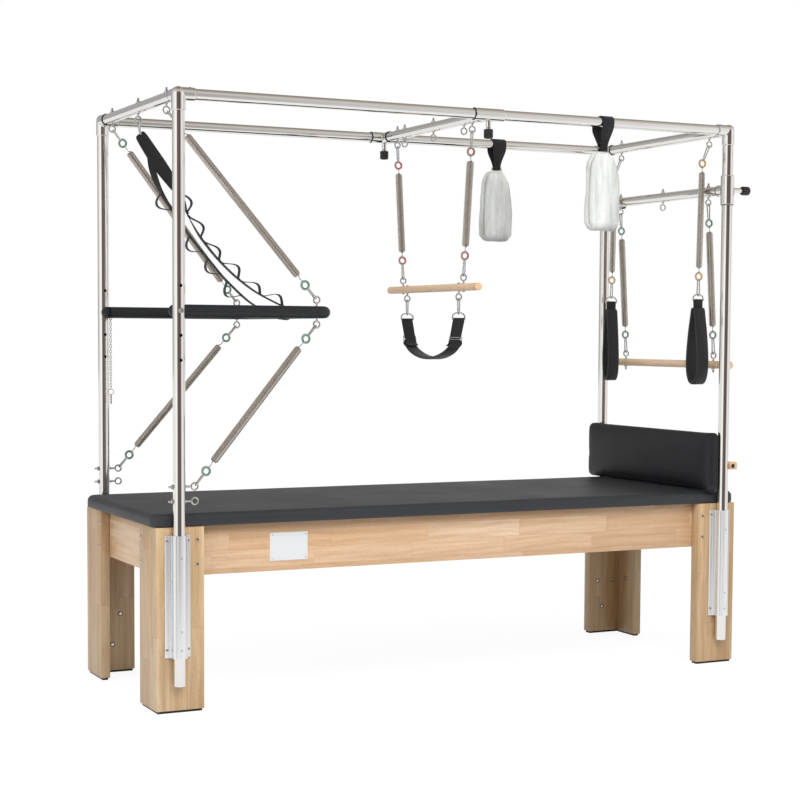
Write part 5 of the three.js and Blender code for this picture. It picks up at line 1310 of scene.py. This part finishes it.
strap_shapes = [strap_length(upper + around + lower),
                strap_length([(0.004, 0.6215, 0.03, 0.005, 90), (0.012, 0.611, 0.042, 0.011, 90),
                              (0.045, 0.563, 0.048, 0.012, 90), (0.084, 0.509, 0.05, 0.012, 90),
                              (0.112, 0.472, 0.044, 0.01, 90), (0.134, 0.441, 0.034, 0.006, 90)])]


def sewn_loops(strand, starts, outward, long, shape):
    """Small loops of webbing that leave the strand, stand out and come back to it lower down."""
    line = flowing(on_strap(strand), 12)
    lengths = lengths_along(line)
    made = []
    for number, start_x in enumerate(starts):
        start = np.interp(LEFT_POST + start_x, line[:, 0], lengths)
        foot, after = (np.array([np.interp(at, lengths, line[:, k]) for k in range(3)])
                       for at in (start, start + long))
        way = after - foot
        out = np.cross(way, (0, 1, 0)) * outward
        puff = 1 + 0.14 * math.sin(number * 2.4 + 0.7)
        ear = [foot - way * 0.1 + out * 0.02] + [foot + way * a + out * max(b * puff, 0.03) for a, b in shape]
        made.append(strap_along(ear + [after + way * 0.1 + out * 0.02], 5, 0.024, 0.0022, (0, 1, 0), 0, 2))
    return made


strap_shapes += sewn_loops(upper, (0.143, 0.186, 0.244, 0.31, 0.388, 0.47), 1, 0.08, (
    (0.0, 0.03), (0.2, 0.15), (0.44, 0.31), (0.64, 0.37), (0.8, 0.31), (0.93, 0.14), (1.0, 0.03)))
strap_shapes += sewn_loops(lower[::-1], (0.084, 0.188, 0.256, 0.33), -1, 0.072, (
    (0.0, 0.03), (0.07, 0.16), (0.2, 0.38), (0.4, 0.5), (0.62, 0.44), (0.84, 0.22), (1.0, 0.03)))
strap = piece("stretching_strap", strap_shapes, [web_black], None, ["looped_strap"], 50)
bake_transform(strap)
eye_at = Vector((LEFT_POST, 0, HANGING_EYE))
fold_at = Vector((LEFT_POST + FOLD_X, 0, PIVOT_LEVEL + FOLD_Z))
tip = along_way(eye_at, fold_at, SEAT)
piece("strap_hook", snap_hook(tip, along_way(fold_at, tip, -0.0085)), [bolt_steel], "bench_and_frame")


# Safety chain: a short length of welded chain that hangs from the back pin's side of the push-through
# bar, with a spare locking pin on its end.
CHAIN_X, CHAIN_Y = LEFT_POST + 0.014, 0.389
link_line = [(0.0032 * math.cos(a), 0.0036 * math.sin(a) + (0.0028 if math.sin(a) > 0 else -0.0028))
             for a in np.linspace(0.2, 2 * math.pi + 0.2, 14, endpoint=False)]
links = [wire_ring((CHAIN_X, CHAIN_Y, 1.3262), (0, 1, 0), 0.0046, 0.0014)]
level_at, number = 1.3255, 0
while level_at > 1.075:
    wide_way = Vector((1, 0, 0) if number % 2 else (0, 1, 0))
    line = [Vector((CHAIN_X, CHAIN_Y, level_at - 0.0064)) + wide_way * a + Vector((0, 0, b)) for a, b in link_line]
    links.append(swept(line, round_section(0.001, 6), wide_way.cross(Vector((0, 0, 1))), True))
    level_at -= 0.0104
    number += 1
links.append(wire_ring((CHAIN_X, CHAIN_Y, level_at - 0.011), (0, 1, 0), 0.0105, 0.0014))
links.append(turned([(0, 0.0), (0, 0.0036), (0.0316, 0.0036), (0.0336, 0.0024), (0.0342, 0)],
                    (CHAIN_X, CHAIN_Y, level_at - 0.022), (0, 0, -1), 16))
piece("safety_chain", links, [bolt_steel], "bench_and_frame")
